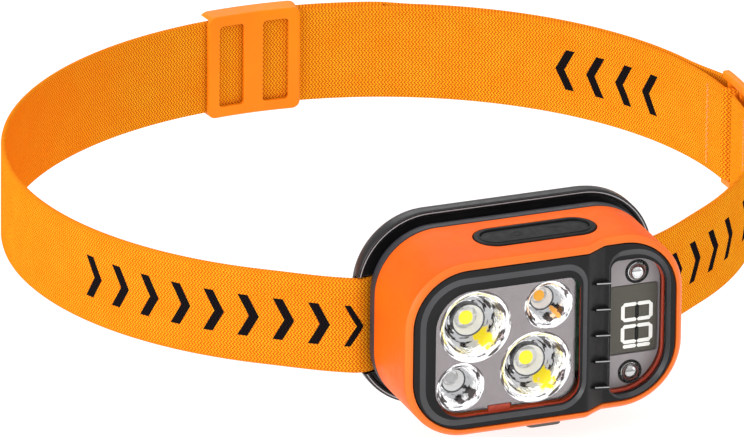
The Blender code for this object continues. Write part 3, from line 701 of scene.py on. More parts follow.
def make_seal(node, hole, radii, inner, mat, lip, right=0.0):
    """Silicone ring round a window, with a rounded inner edge.

    inner is the gap between that edge and the window's, and right is added to it on the right side.
    """
    low, high = corners(node)
    grown = (lip, lip, inner + 0.3, inner + 0.1, inner, inner + 0.1, inner + 0.3)
    depths = (low.y, high.y, high.y, high.y - 0.08, (low.y + high.y) / 2, low.y + 0.08, low.y)
    loops = []
    for grow, y in zip(grown, depths):
        shift = 0.0 if grow == lip else right
        outline = box_outline((hole[0], hole[1] + shift, hole[2], hole[3]), radii, grow)
        loops.append([(x, y, z) for x, z in outline])
    seal = loft(loops, mat, closed=True)
    if node == "main_lens_seal":
        start, end, height = SEAL_TAB
        centre = ((start + end) / 2, hole[2] + (height - 0.8) / 2)
        tab = rounded(end - start, height + 0.8, 0.35, centre, steps=6)
        fuse(seal, prism(tab, low.y + 0.05, high.y - 0.05))
    stand_for(seal, node)


def make_usb_socket(mat):
    low, high = corners("usb_socket")
    outside = [(-0.08, low.z), (0.0, low.z + 0.08), (0.0, high.z)]
    inside = [(-0.3, high.z), (-0.3, low.z + 4.0), (-0.35, low.z)]
    stand_for(loft(stacked(usb_outline, outside + inside, "Z"), mat, closed=True), "usb_socket")


# ---------------------------------------------------------------- lamp head: reflector, lamps and display

COLLAR = 1.27                  # outer radius of the collar round a lamp, in radii of the cup's mouth


def cup_profile(rim, mouth, front):
    """Bead, sloping collar, parabolic bowl and the raised ring round the lamp, from the front in."""
    bead = [(rim + 0.25, front + 0.25), (rim + 0.25, front), (rim + 0.15, front - 0.12),
            (rim - 0.1, front - 0.15)]
    collar = [(rim - 0.25, front - 0.05), (rim - 1.15, front + 0.75), (rim - 1.25, front + 0.95)]
    bowl = []
    for k in range(13):
        share = k / 12
        radius = COLLAR * mouth + 0.1 + (rim - 1.45 - COLLAR * mouth) * math.sqrt(1 - share)
        bowl.append((radius, front + 1.0 + (CUP_DEPTH - 1.3) * share))
    ring = [(mouth + 0.3, front + CUP_DEPTH - 0.4), (mouth + 0.28, front + CUP_DEPTH)]
    outside = [(COLLAR * mouth + 0.5, front + CUP_DEPTH)]
    for k in range(12, -1, -1):
        share = k / 12
        radius = COLLAR * mouth + 0.6 + (rim - 0.6 - COLLAR * mouth) * math.sqrt(1 - share)
        outside.append((radius, front + 0.6 + (CUP_DEPTH - 0.9) * share))
    return bead + collar + bowl + ring + outside


def make_reflector(plate_mat, cup_mats, shadowed_collar_mat, dish_mat):
    """Grey plate behind the lens with four bright cups let into it, and a collar round each lamp, dark as
    painted shadow.
    """
    front = REFLECTOR_Y
    plate = prism(box_outline(MAIN_WINDOW, MAIN_RADII, -0.5), front, front + 0.6, plate_mat)
    start, end, height = SEAL_TAB
    edge = MAIN_WINDOW[2]
    cut(plate, block((start - GAP, front - 1, edge - 1), (end + GAP, front + 2, edge + height + GAP)))
    cups = []
    for node, (rim, mouth) in CUPS.items():
        place = front_centre(node)
        cut(plate, rod(place, rim - 0.3, front - 1, front + 2, sides=96))
        cups.append(turned(cup_profile(rim, mouth, front), place, cup_mats[node], sides=96, closed=True))
        foot = front + CUP_DEPTH - 0.4
        outer = COLLAR * mouth
        collar = [(outer, foot), (outer, foot - 2.0), (outer - 0.08, foot - 2.1),
                  (outer - 0.26, foot - 2.1), (outer - 0.34, foot - 2.0), (outer - 0.34, foot)]
        cups.append(turned(collar, place, shadowed_collar_mat, sides=96, closed=True))
        # the well round each lamp takes the ceramic material, which glows a little: painted light
        well = [(outer - 0.36, foot + 0.3), (outer - 0.36, foot - 1.8), (outer - 0.5, foot - 1.8),
                (mouth - 0.2, foot - 0.5), (mouth - 0.4, foot), (mouth - 0.4, foot + 0.3)]
        cups.append(turned(well, place, dish_mat, sides=96, closed=True))
    stand_for(join("reflector", [plate] + cups), "reflector")


def make_led(node, size, lens, ceramic, phosphor, glass):
    """Ceramic base, a low mound of phosphor and a clear dome over it."""
    place = front_centre(node)
    base = corners(node)[1].y
    rows = [(0.0, base), (0.0, base - 0.78), (-0.1, base - 0.9)]

    def square(grow):
        return rounded(size + 2 * grow, size + 2 * grow, 0.35 + grow, place, steps=4)

    body = loft(stacked(square, rows), ceramic)
    spot, cover = 0.5 * size, 0.56 * size
    blob = [(spot, base - 0.85)] + dome(spot, base - 0.95, base - 0.95 - 0.4 * lens)
    stand_for(join(node, [body, turned(blob, place, phosphor, sides=40)]), node)
    cap = turned([(cover, base - 0.88)] + dome(cover, base - 1.0, base - 1.0 - lens), place, glass)
    cap.name = node + "_dome"
    cap.data.shade_smooth()
    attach(cap, "head")


SEGMENTS = {                   # ends of each stroke in half cells: right, up
    "a": ((-1, 1), (1, 1)), "b": ((1, 1), (1, 0)), "c": ((1, 0), (1, -1)), "d": ((-1, -1), (1, -1)),
    "e": ((-1, 0), (-1, -1)), "f": ((-1, 1), (-1, 0)), "g": ((-1, 0), (1, 0)),
}
DIGIT_SIZE = (4.05, 7.4)       # between the middle lines of its strokes: across and tall
DIGIT_STROKE = 0.92
BAR_STROKE = 1.0               # the dark middle bar of each digit is wider
DIGIT_DROPS = (-0.1, 5.7, 10.95)    # centre of each digit below the head's centre


def segment(name, x, z, face, mat):
    """One stroke of a digit that lies on its side: its top points to -X and it reads upwards."""
    half_width, half_height = DIGIT_SIZE[0] / 2, DIGIT_SIZE[1] / 2
    ends = [Vector((x - up * half_height, z + right * half_width)) for right, up in SEGMENTS[name]]
    run = (ends[1] - ends[0]).normalized()
    side = Vector((-run.y, run.x)) * (BAR_STROKE if name == "g" else DIGIT_STROKE) / 2
    inset = DIGIT_STROKE * 0.06
    tip = DIGIT_STROKE * 0.36
    first, last = ends[0] + run * inset, ends[1] - run * inset
    outline = [first, first + run * tip + side, last - run * tip + side, last, last - run * tip - side,
               first + run * tip - side]
    return prism([tuple(p) for p in outline], face - 0.06, face + 0.02, mat)


def make_display(face_mat, panel_mat, lit, unlit_and_shadow_black, chrome, dark):
    """Grey panel, the number module in it with a sideways 100, a signal lamp and the motion sensor."""
    low, high = corners("display_panel")
    outline = box_outline(DISPLAY_WINDOW, DISPLAY_RADII)
    panel = prism(outline, low.y, high.y, panel_mat)
    inner, outer = corners("display_module")
    hole = (inner.x, outer.x, inner.z, outer.z)
    cut(panel, prism(box_outline(hole, 0.8, GAP), low.y - 1, high.y + 1))
    for node in ("signal_led", "motion_sensor"):
        a, b = corners(node)
        cut(panel, rod(front_centre(node), (b.x - a.x) / 2 + GAP, low.y - 1, high.y + 1))
    stand_for(panel, "display_panel")

    rows = [(-0.12, inner.y), (0.0, inner.y + 0.12), (0.0, outer.y)]
    loops = stacked(lambda grow: box_outline(hole, 0.8, grow), rows)
    stand_for(loft(loops, face_mat), "display_module")

    x, face = (inner.x + outer.x) / 2 + 1.35, inner.y
    shown = []
    for drop, strokes in zip(DIGIT_DROPS, ("abcdef", "abcdef", "bc")):
        shown += [segment(stroke, x, HEAD_Z - drop, face, lit) for stroke in strokes]
    middles = [segment("g", x, HEAD_Z - drop, face, unlit_and_shadow_black) for drop in DIGIT_DROPS[:2]]
    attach(join("display_digits", shown), "head")
    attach(join("display_unlit", middles), "head")

    # near-black rings on the panel round the signal lamp and the motion sensor: painted shadow round their
    # domes
    painted_shadows, seat = [], low.y
    for node, mat in (("signal_led", chrome), ("motion_sensor", dark)):
        a, b = corners(node)
        radius, place = (b.x - a.x) / 2, front_centre(node)
        profile = [(radius, b.y), (radius, seat + 0.1), (radius - 0.05, seat - 0.1),
                   (radius - 0.15, seat - 0.15), (radius - 0.22, seat - 0.05)]
        profile += arc((0, seat - 0.2), (radius - 0.22, a.y - seat + 0.2), 0, 88, 14)
        stand_for(turned(profile, place, mat), node)
        ring = [(radius - 0.1, seat - 0.03), (radius + 0.75, seat - 0.03), (radius + 0.75, seat + 0.1),
                (radius - 0.1, seat + 0.1)]
        painted_shadows.append(turned(ring, place, unlit_and_shadow_black, closed=True))
    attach(join("display_painted_shadows", painted_shadows), "head")


# ---------------------------------------------------------------- lamp head: button

def make_button(mat):
    """Rubber surround with a raised ridge, and a skin in two halves over the keys."""
    rows = [(-1.5, 21.6), (0.8, 21.6), (0.8, 23.0), (0.0, 23.0), (0.0, 25.55), (-0.08, 25.7), (-0.25, 25.78),
            (-0.85, 25.72), (-1.0, 25.76), (-1.1, 25.9), (-1.25, BUTTON_TOP), (-1.42, BUTTON_TOP),
            (-1.55, 25.88), (-1.62, 25.7), (-1.62, 24.4)]
    stand_for(loft(stacked(button_outline, rows, "Z"), mat, closed=True), "button_pad")

    rows = [(-1.66, 24.0), (-1.66, 25.4), (-1.75, 25.52), (-1.95, 25.58), (-2.6, 25.62), (-3.6, 25.66),
            (-4.6, 25.69), (-5.2, 25.7)]
    split = BUTTON_CENTRE[0]
    for body, side in (("power_key", -1), ("sensor_key", 1)):
        skin = loft(stacked(button_outline, rows, "Z"), mat)
        skin.name = body + "_skin"
        form = bmesh.new()
        form.from_mesh(skin.data)
        for k in range(1, 10):        # slices every half millimetre near the split
            everything = form.verts[:] + form.edges[:] + form.faces[:]
            bmesh.ops.bisect_plane(form, geom=everything, plane_co=((split + side * 0.5 * k) * MM, 0, 0),
                                   plane_no=(1, 0, 0))
        everything = form.verts[:] + form.edges[:] + form.faces[:]
        bmesh.ops.bisect_plane(form, geom=everything, plane_co=(split * MM, 0, 0), plane_no=(-side, 0, 0),
                               clear_outer=True)
        bmesh.ops.holes_fill(form, edges=[e for e in form.edges if e.is_boundary])
        form.to_mesh(skin.data)
        form.free()
        fuse(skin, rod((split + side * 8.0, BUTTON_CENTRE[1]), 1.4, 23.0, 24.2, axis="Z", sides=64))
        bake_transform(skin)
        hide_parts(body)


def make_icons(mat):
    """Low raised marks on the two keys: a power sign and waves for the motion switch."""
    top, y = 25.69, BUTTON_CENTRE[1]
    for x, body, strokes in (
            (-3.0, "power_key", [(1.15, 30, 330), (0.0, 0, 0)]),
            (6.9, "sensor_key", [(0.6, 20, 160), (1.2, 20, 160), (1.8, 20, 160)])):
        parts = []
        for radius, start, end in strokes:
            line = arc((x, y), (radius, radius), start, end, 20) if radius else [(x + 0.3, y), (x + 1.4, y)]
            parts.append(raised_line(line, 0.16, top - 0.05, top + 0.07, mat))
        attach(join(body + "_icon", parts), body)


def raised_line(points, half, low, high, mat):
    """A narrow raised stroke along points in plan."""
    loops = []
    for k, point in enumerate(points):
        before, after = Vector(points[max(k - 1, 0)]), Vector(points[min(k + 1, len(points) - 1)])
        run = (after - before).normalized()
        side = Vector((-run.y, run.x)) * half
        a, b = Vector(point) + side, Vector(point) - side
        c, d = Vector(point) + side * 0.6, Vector(point) - side * 0.6
        loops.append([(a.x, a.y, low), (c.x, c.y, high), (d.x, d.y, high), (b.x, b.y, low)])
    return loft(loops, mat)


# ---------------------------------------------------------------- bracket plate and forehead pad

def plate_loop(y, inset):
    width, height = PLATE_SIZE[0] - 2 * inset, PLATE_SIZE[1] - 2 * inset
    outline = rounded(width, height, PLATE_RADIUS - inset, (0, PLATE_Z), steps=24)
    return [(x, y, z) for x, z in outline]


def make_bracket(mat, highlight_grey_mat):
    # rows: place along Y and inset, from the back edge round to the flat front
    front, back = PLATE_Y
    rows = [(back, 0.4), (back - 0.12, 0.12), (back - 0.4, 0.0), (front + 0.45, 0.0), (front + 0.2, 0.06),
            (front + 0.06, 0.2), (front, 0.5), (front, 0.75), (front, 1.15), (front + 0.08, 1.35),
            (front + 0.3, 1.5), (front + 0.8, 1.65)]
    plate = loft([plate_loop(*row) for row in rows], mat)
    plate.data.materials.append(highlight_grey_mat)
    # one ring of faces round the plate's front edge takes the grey: a painted highlight line
    count = len(plate_loop(front, 0.0))
    line = rows.index((front, 0.5))
    for face in plate.data.polygons[line * count:(line + 1) * count]:
        face.material_index = 1
    half = BAND_WIDTH / 2 + 0.4
    cut(plate, block((-SLOT_X[0] - 1, -4.4, -half), (SLOT_X[0] + 1, 0, half)))
    for side in (-1, 1):
        cut(plate, block((side * SLOT_X[0], -9, -half - 0.01), (side * SLOT_X[1], 0, half + 0.01)))
        cut(plate, block((side * (SLOT_X[1] - 0.5), -9, -half), (side * 40, BAR_FRONT_Y, half)))
    y, z = HINGE
    for side in (-1, 1):
        low, high = sorted((side * (KNUCKLE_HALF + GAP), side * (KNUCKLE_HALF + GAP + LUG_WIDTH)))
        web = [(y, z + 2.5), (back - 1.0, z + 5.4), (back - 1.0, z + 1.3), (y, z - 2.5)]
        ear = loft([[(x, *p) for p in web] for x in (low, high)])
        eye = [(2.2, low), (2.5, low + 0.3), (2.5, high - 0.3), (2.2, high)]
        fuse(ear, turned(eye, HINGE, axis="X"))
        fuse(plate, ear)
    cut(plate, rod(HINGE, PIN_HOLE, -40, 40, axis="X"))
    stand_for(plate, "bracket_plate", "root")


def make_pad(foam, thread):
    """Foam pad, rounded all round, with a stitched line in a pressed channel inside its edge."""
    # rows: place along Y and inset
    front = PAD_LOW.y
    rows = [(front, 1.1), (front + 0.15, 0.75), (front + 0.45, 0.6), (front + 0.9, 0.62), (front + 1.4, 0.8),
            (front + 1.85, 1.2), (front + 2.15, 1.8), (front + 2.33, 2.7), (front + 2.38, 3.8)]
    channel = [(front + 2.25, 4.6), (front + 1.95, 5.0), (front + 1.95, 5.4), (front + 2.25, 5.8)]
    crown = [(front + 2.38, 6.8), (0.0, 8.5), (0.0, 12.0)]
    pad = loft([plate_loop(*row) for row in rows + channel + crown], foam)
    stand_for(pad, "forehead_pad", "root")
    line = [Vector(p) for p in plate_loop(front + 1.97, 5.2)]
    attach(stitch_run("pad_stitching", line, 2.6, 1.7, 0.2, thread), "root")


# ---------------------------------------------------------------- thread

def tube(points, radius, mat, sides=6):
    """Round thread along points, tapering a little at both ends."""
    loops = []
    last = len(points) - 1
    guide = Vector((0.31, 0.17, 0.93))
    for k, point in enumerate(points):
        run = (points[min(k + 1, last)] - points[max(k - 1, 0)]).normalized()
        across = run.cross(guide).normalized()
        other = run.cross(across)
        size = radius * (0.6 if k in (0, last) else 1.0)
        loops.append([point + (across * math.cos(2 * math.pi * s / sides)
                               + other * math.sin(2 * math.pi * s / sides)) * size for s in range(sides)])
    return loft(loops, mat)


def resample(points, step):
    """Points spaced evenly along a line, close to a step."""
    lengths = [0.0]
    for a, b in zip(points, points[1:]):
        lengths.append(lengths[-1] + (b - a).length)
    count = max(1, round(lengths[-1] / step))
    spaced, k = [], 0
    for i in range(count + 1):
        want = lengths[-1] * i / count
        while k < len(points) - 2 and lengths[k + 1] < want:
            k += 1
        run = lengths[k + 1] - lengths[k]
        spaced.append(points[k].lerp(points[k + 1], (want - lengths[k]) / run if run else 0.0))
    return spaced


def stitch_run(name, line, pitch, length, radius, mat):
    """Separate stitches round a closed line; each dips into the cloth at both ends."""
    dense = resample(line + [line[0]], pitch / 8)
    dip = Vector((0, 1, 0)) * radius * 0.9
    parts = []
    for start in range(0, len(dense) - 8, 8):
        used = dense[start:start + round(8 * length / pitch) + 1]
        shaped = [p - dip * abs(2 * k / (len(used) - 1) - 1) ** 3 for k, p in enumerate(used)]
        parts.append(tube(shaped, radius, mat))
    return join(name, parts)


# ---------------------------------------------------------------- headband

def on_loop(degrees, offset=0.0):
    """Point of the headband's plan, measured round from the back; offset is outwards."""
    t = math.radians(degrees)
    normal = Vector((math.sin(t) / LOOP_X, math.cos(t) / LOOP_Y)).normalized()
    x, y = LOOP_X * math.sin(t), LOOP_CENTRE_Y + LOOP_Y * math.cos(t)
    return (x + normal.x * offset, y + normal.y * offset)


def smooth(share):
    share = min(1.0, max(0.0, share))
    return share * share * (3 - 2 * share)


def front_side():
    """Right half of the band's front: from the loop's side over the bracket's bar and through its slot."""
    points = []
    for k in range(46):
        x, y = on_loop(100 + (155.9 - 100) * k / 45)
        points.append((x, y - 2.1 * smooth((58 - x) / 20)))
    slot = [(36.6, -5.25), (35.2, -5.12), (34.0, -4.6), (32.8, -4.0), (31.4, -3.6), (30.0, -3.45)]
    return points + slot


def turn_round_bar(degrees, toward):
    """Half turn of the band's middle line round a ring bar, from the inside of the loop to the outside."""
    centre = Vector(on_loop(degrees, RING_OFFSET))
    inside = Vector(on_loop(degrees)) - centre
    side = Vector(on_loop(degrees + toward, RING_OFFSET)) - centre
    side = side.normalized() * RING_OFFSET
    angles = [math.pi * k / 16 for k in range(17)]
    return [tuple(centre + inside * math.cos(a) + side * math.sin(a)) for a in angles]


def band_centreline():
    """Middle line of the webbing: ring, back, left side, bracket, right side, ring and its sewn end."""
    rear = turn_round_bar(RING_ANGLES[0], 1)[::-1]
    start = RING_ANGLES[0] - 1
    back = [on_loop(start - (start + 98) * k / 150) for k in range(151)]
    right = front_side()
    left = [(-x, y) for x, y in right]
    side = turn_round_bar(RING_ANGLES[1], -1)
    sewn = [on_loop(RING_ANGLES[1] + turn, 2 * RING_OFFSET - 3.1 * smooth(turn / 5))
            for turn in (0.7 * k for k in range(2, 16))]
    return rear + back + left + right[::-1] + side + sewn


def spline(points, step):
    """Catmull-Rom curve through plan points, resampled evenly."""
    dense = []
    doubled = [points[0]] + list(points) + [points[-1]]
    for a, b, c, d in zip(doubled, doubled[1:], doubled[2:], doubled[3:]):
        a, b, c, d = (Vector((*p, 0.0)) for p in (a, b, c, d))
        for k in range(4):
            t = k / 4
            dense.append(0.5 * (2 * b + (c - a) * t + (2 * a - 5 * b + 4 * c - d) * t * t
                                + (3 * b - a - 3 * c + d) * t ** 3))
    dense.append(Vector((*points[-1], 0.0)))
    return resample(dense, step)


BACK_FACE = 100.0              # added across the webbing's inner face in its texture map


def ribbon(line, mat, start=0.0):
    """Flat webbing on edge along a plan line, with rounded selvedges; its texture map is in millimetres."""
    half, thick = BAND_WIDTH / 2, BAND_THICKNESS / 2
    edge = arc((half - thick, 0), (thick, thick), 90, -90, 6)
    across = [-half + thick + (2 * half - 2 * thick) * k / 8 for k in range(9)]
    section = [(z, thick, z) for z in across]
    section += [(z, n, z) for z, n in edge[1:-1]]
    section += [(z, -thick, BACK_FACE + z) for z in across[::-1]]
    section += [(-z, n, BACK_FACE - z) for z, n in edge[::-1][1:-1]]
    loops, lengths = [], [start]
    for k, point in enumerate(line):
        run = (line[min(k + 1, len(line) - 1)] - line[max(k - 1, 0)]).normalized()
        outward = Vector((run.y, -run.x, 0))
        if k:
            lengths.append(lengths[-1] + (point - line[k - 1]).length)
        loops.append([point + outward * n + Vector((0, 0, z)) for z, n, _ in section])
    obj = loft(loops, mat)
    layer = obj.data.uv_layers.new(name="webbing")
    count = len(section)
    for face in obj.data.polygons:
        rows = [obj.data.loops[i].vertex_index for i in face.loop_indices]
        inner = sum(section[v % count][2] > BACK_FACE / 2 for v in rows) * 2 > len(rows)
        for i, v in zip(face.loop_indices, rows):
            z, _, mapped = section[v % count]
            if inner:
                mapped = BACK_FACE + z
            elif mapped >= BACK_FACE / 2:
                mapped = z
            layer.data[i].uv = (lengths[v // count], mapped)
    return obj


BACK_Y_OUT = LOOP_CENTRE_Y + LOOP_Y
SLIDER_OUT = corners("slider_buckle")[1].y - BACK_Y_OUT     # outside of the slider's anchor bar
PER_MM = 180 / (math.pi * LOOP_X)    # degrees for a millimetre along the loop's back
STRAP_LIE = 1.55               # middle of the outer layer from the middle of the band
TAIL_END = 21.0                # where the sewn tail of the return strap ends, in degrees
TAIL_TACKS = (17.5, 19.5)
STRAP_START = 700.0            # the strap's texture map starts here, past the headband's end


def strap_line():
    """Plan line of the return strap: ring, along the band, over the slider's bar and back under itself."""
    bar = SLIDER_OUT - 0.65
    reach = 0.65 + 0.15 + BAND_THICKNESS / 2
    points = [on_loop(RING_ANGLES[0] - 3 * k, 2 * RING_OFFSET - (2 * RING_OFFSET - STRAP_LIE) * smooth(k / 4))
              for k in range(5)]
    points += [on_loop(73 - 3 * k, STRAP_LIE) for k in range(16)]
    lifted = STRAP_LIE + BAND_THICKNESS + 0.05
    # where the strap climbs over its own sewn tail: degrees, and share of one layer
    rise = ((25, 0.05), (23, 0.4), (21, 0.85), (19, 1.0), (16, 1.0), (12, 1.0), (9, 1.0), (6, 1.0))
    points += [on_loop(degrees, STRAP_LIE + (lifted - STRAP_LIE) * share) for degrees, share in rise]
    points.append(on_loop(3.5, max(lifted, bar + reach - 0.1)))
    points.append(on_loop(1.2, bar + reach))
    for k in range(9):
        angle = math.radians(90 + 22.5 * k)
        points.append(on_loop(-0.6 + reach * math.cos(angle) * 0.55 - 0.2, bar + reach * math.sin(angle)))
    points += [on_loop(1.2, bar - reach), on_loop(3.0, STRAP_LIE + 0.05)]
    points += [on_loop(degrees, STRAP_LIE) for degrees in (6, 9, 12, 15, 18, TAIL_END)]
    return points


def make_return_strap(webbing, thread):
    strap = ribbon(spline(strap_line(), 0.8), webbing, STRAP_START)
    strap.name = "return_strap_visual"
    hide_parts("return_strap")
    pieces = [strap]
    for degrees in TAIL_TACKS:
        pieces.append(bar_tack("strap_stitching_%d" % (10 * degrees), degrees,
                               STRAP_LIE + 1.5 * BAND_THICKNESS + 0.02, thread))
    for piece in pieces:
        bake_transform(piece)


TACK_REACH = 11.0              # from the middle of the webbing to a tack's end
TACK_STEP = 0.75
TACK_SWING = 0.5


def bar_tack(name, degrees, offset, thread):
    """Zigzag line of stitches straight across the webbing's outside, or inside with a negative offset."""
    points = []
    for k in range(round(2 * TACK_REACH / TACK_STEP) + 1):
        side = TACK_SWING if k % 2 else -TACK_SWING
        points.append(Vector((*on_loop(degrees + side * PER_MM, offset), -TACK_REACH + TACK_STEP * k)))
    sink = Vector((*on_loop(degrees, offset), 0)) - Vector((*on_loop(degrees, offset + 1), 0))
    sink *= math.copysign(0.12, offset)
    dense = []
    for a, b in zip(points, points[1:]):
        dense += [a.lerp(b, k / 4) + sink * (1 - math.sin(math.pi * k / 4)) for k in range(4)]
    line = tube(dense + [points[-1]], 0.2, thread)
    line.name = name
    return line


def make_band_stitches(thread):
    """Tacks where the band's end is sewn back on itself, seen outside and inside."""
    for k, (degrees, offset) in enumerate((
            (RING_ANGLES[1] + 7.0, 2.35), (RING_ANGLES[1] + 9.0, 2.35), (83.4, -0.62),
            (RING_ANGLES[1] + 7.0, -0.62), (RING_ANGLES[1] + 9.0, -0.62))):
        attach(bar_tack("band_stitching_%d" % (k + 1), degrees, offset, thread), "root")


def bent_plate(length, height, corner, inner, outer, edge, mat=None, centre=0.0, stations=40):
    """Plate that follows the loop between two offsets, with round corners and softened edges."""
    loops = []
    for k in range(stations + 1):
        t = -1 + 2 * k / stations
        s = math.copysign(1 - (1 - abs(t)) ** 1.6, t) * length / 2
        over = max(0.0, corner - (length / 2 - abs(s)))
        half = height / 2 - corner + math.sqrt(max(0.0, corner ** 2 - over ** 2))
        pull = min(edge, max(0.0, edge - (length / 2 - abs(s))))
        near, far = inner + pull * 0.7, outer - pull * 0.7
        half = max(half, 0.3)
        radius = min(edge, (far - near) / 2 - 0.01, half - 0.01)
        ring = rounded(far - near, 2 * half, radius, ((near + far) / 2, 0.0), steps=4)
        loops.append([(*on_loop(centre + s * PER_MM, offset), z) for offset, z in ring])
    return loft(loops, mat)


def make_ring(mat):
    """Rectangular ring with rounded bars that joins the doubled back to the right side of the band."""
    first, last = RING_ANGLES
    rail_low, rail_high = BAND_WIDTH / 2 + 0.6, corners("end_ring")[1].z
    parts = []
    length = math.radians(last - first + 5) * LOOP_Y
    for side in (-1, 1):
        rail = bent_plate(length, rail_high - rail_low, 0.8, RING_OFFSET - 0.95, RING_OFFSET + 0.95,
                          0.45, mat, centre=(first + last) / 2, stations=24)
        for vertex in rail.data.vertices:
            vertex.co.z += side * (rail_high + rail_low) / 2 * MM
        parts.append(rail)
    for degrees in RING_ANGLES:
        x, y = on_loop(degrees, RING_OFFSET)
        parts.append(rod((x, y), 1.0, -rail_low - 0.6, rail_low + 0.6, mat, axis="Z", sides=32))
    ring = parts[0]
    fuse(ring, *parts[1:])
    stand_for(ring, "end_ring", "root")


def make_slider(mat):
    """Three-bar slider: slotted plate inside the loop, rails, and an outer bar for the return strap."""
    inner = -BAND_THICKNESS / 2 - 0.45
    rail = BAND_WIDTH / 2 + 0.45
    slider = bent_plate(SLIDER_LENGTH, SLIDER_HEIGHT, 2.2, inner - 1.0, SLIDER_OUT, 0.35, mat)
    under = SLIDER_OUT - 1.3
    cut(slider, bent_plate(SLIDER_LENGTH + 8, 2 * rail, 0.5, inner, under, 0.1))
    spacing = SLIDER_LENGTH / 2 - SLIDER_BAR - SLIDER_SLOT[0] / 2
    bar_half = 1.3 / PER_MM    # half the width of the outer bar, which spans 1.3 degrees to each side
    outer_gap = SLIDER_LENGTH / 2 + 4 - bar_half
    for side in (-1, 1):
        cut(slider, bent_plate(*SLIDER_SLOT, 1.0, inner - 4, inner + 0.5, 0.1,
                               centre=side * spacing * PER_MM, stations=24))
        gap_centre = side * (bar_half + outer_gap / 2)
        cut(slider, bent_plate(outer_gap, 2 * rail, 0.3, 0.7, SLIDER_OUT + 3, 0.1,
                               centre=gap_centre * PER_MM, stations=20))
    stand_for(slider, "slider_buckle", "slider")


# ---------------------------------------------------------------- materials of cloth, lamps and inner parts

MARK_PITCH = 9.0               # printed chevrons: spacing, stroke and half height
MARK_STROKE = 2.6
MARK_HALF = 5.4
LOOP_PITCH = 0.86              # knitted loops: spacing along the webbing, and half a row across it
ROW_HALF = 0.62


def length_at(line, degrees):
    """Distance along the headband's line to the point nearest a place on the loop."""
    target = Vector((*on_loop(degrees), 0.0))
    best, travelled, nearest = 0.0, 0.0, math.inf
    for a, b in zip(line, line[1:]):
        travelled += (b - a).length
        if (b - target).length < nearest:
            best, nearest = travelled, (b - target).length
    return best


def chevrons(nodes, u, v, zones):
    """Mask of printed chevrons inside zones of (start, end, face shift) along the webbing."""
    total = None
    for start, end, shift in zones:
        across = nodes.math("ABSOLUTE", nodes.math("SUBTRACT", v, shift))
        lean = nodes.math("MULTIPLY_ADD", across, 0.55, u)
        along = nodes.math("SUBTRACT", lean, start)
        stroke = nodes.math("LESS_THAN", nodes.math("MODULO", along, MARK_PITCH), MARK_STROKE)
        inside = nodes.math("MULTIPLY", nodes.math("GREATER_THAN", along, 0.0),
                            nodes.math("LESS_THAN", along, end - start))
        band = nodes.math("LESS_THAN", across, MARK_HALF)
        mask = nodes.math("MULTIPLY", nodes.math("MULTIPLY", stroke, inside), band)
        total = nodes.math("MAXIMUM", total, mask) if total else mask
    return total


def webbing_material(line):
    """Knitted elastic: fine slanted loops in two tones, with black printed chevrons.

    Towards the loop's -X side it has painted shade, redder and darker, most of all on its inner face.
    """
    mat = plain("webbing_cloth", (1.0, 0.36, 0.012), 0.9, Specular_IOR_Level=0.0)
    nodes = Nodes(mat)
    split = nodes.add("SeparateXYZ", nodes.add("UVMap", uv_map="webbing").outputs[0])
    u, v = split.outputs[0], split.outputs[1]
    lean = nodes.math("PINGPONG", v, ROW_HALF)
    slant = nodes.math("MULTIPLY", nodes.math("MULTIPLY_ADD", lean, 1.1, u), 2 * math.pi / LOOP_PITCH)
    loops = nodes.math("MULTIPLY_ADD", nodes.math("SINE", slant), 0.5, 0.5)
    rows = nodes.math("ABSOLUTE", nodes.math("SINE", nodes.math("MULTIPLY", v, math.pi / ROW_HALF)))
    flat = nodes.add("CombineXYZ", u, v, 0.0).outputs[0]
    fuzz = nodes.noise(1.5, 3.0, 0.7, flat)
    uneven = nodes.noise(0.11, where=flat)
    weave = nodes.math("MULTIPLY", nodes.math("MULTIPLY_ADD", rows, 0.45, 0.55), loops)
    shade = nodes.math("ADD", nodes.math("MULTIPLY", weave, 0.75), nodes.math("MULTIPLY", fuzz, 0.5))
    light = nodes.mix(nodes.spread(uneven, 0.3, 0.7), (1.0, 0.40, 0.012), (1.0, 0.47, 0.018))
    cloth = nodes.mix(nodes.spread(shade, 0.3, 0.75), (0.6, 0.085, 0.006), light)
    edge = nodes.spread(nodes.math("ABSOLUTE", v), 11.5, 11.9, 0.0, 0.35)
    outside = nodes.math("LESS_THAN", nodes.math("ABSOLUTE", v), BACK_FACE / 2)
    hem = nodes.math("MULTIPLY", edge, outside)
    cloth = nodes.mix(hem, cloth, (0.85, 0.2, 0.01))
    # painted shade: redder, darker cloth towards -X, stronger on the inner face
    shade_toward_minus_x = nodes.spread(nodes.add("SeparateXYZ", nodes.where).outputs[0], -95.0, -30.0, 1.0, 0.0)
    inside = nodes.math("LESS_THAN", BACK_FACE / 2, v)
    painted_shade = nodes.math("MULTIPLY", shade_toward_minus_x, nodes.math("MULTIPLY_ADD", inside, 0.6, 0.25))
    painted_shade = nodes.math("MULTIPLY", painted_shade, nodes.spread(shade, 0.1, 0.7, 0.6, 1.0))
    cloth = nodes.mix(painted_shade, cloth, (1.0, 0.17, 0.006))
    # the printed zones start and end at these places round the loop
    at = {degrees: length_at(line, degrees) for degrees in (-112, -157, 150, 128, 125, 105, 68, 47)}
    zones = [(at[-112], at[-112] + 4 * MARK_PITCH - 4, 0.0), (at[-112] + 4 * MARK_PITCH, at[-157], 0.0),
             (at[150], at[128], 0.0), (at[125], at[105], 0.0), (at[68], at[47], BACK_FACE)]
    marks = chevrons(nodes, u, v, zones)
    ink = nodes.mix(nodes.spread(weave, 0.2, 0.9), (0.006, 0.005, 0.006), (0.016, 0.012, 0.014))
    nodes.colour(nodes.mix(marks, cloth, ink))
    nodes.roughness(nodes.spread(shade, 0.2, 0.9, 0.95, 0.78))
    nodes.bump(weave, 0.11)
    nodes.bump(fuzz, 0.04, 0.6)
    return mat


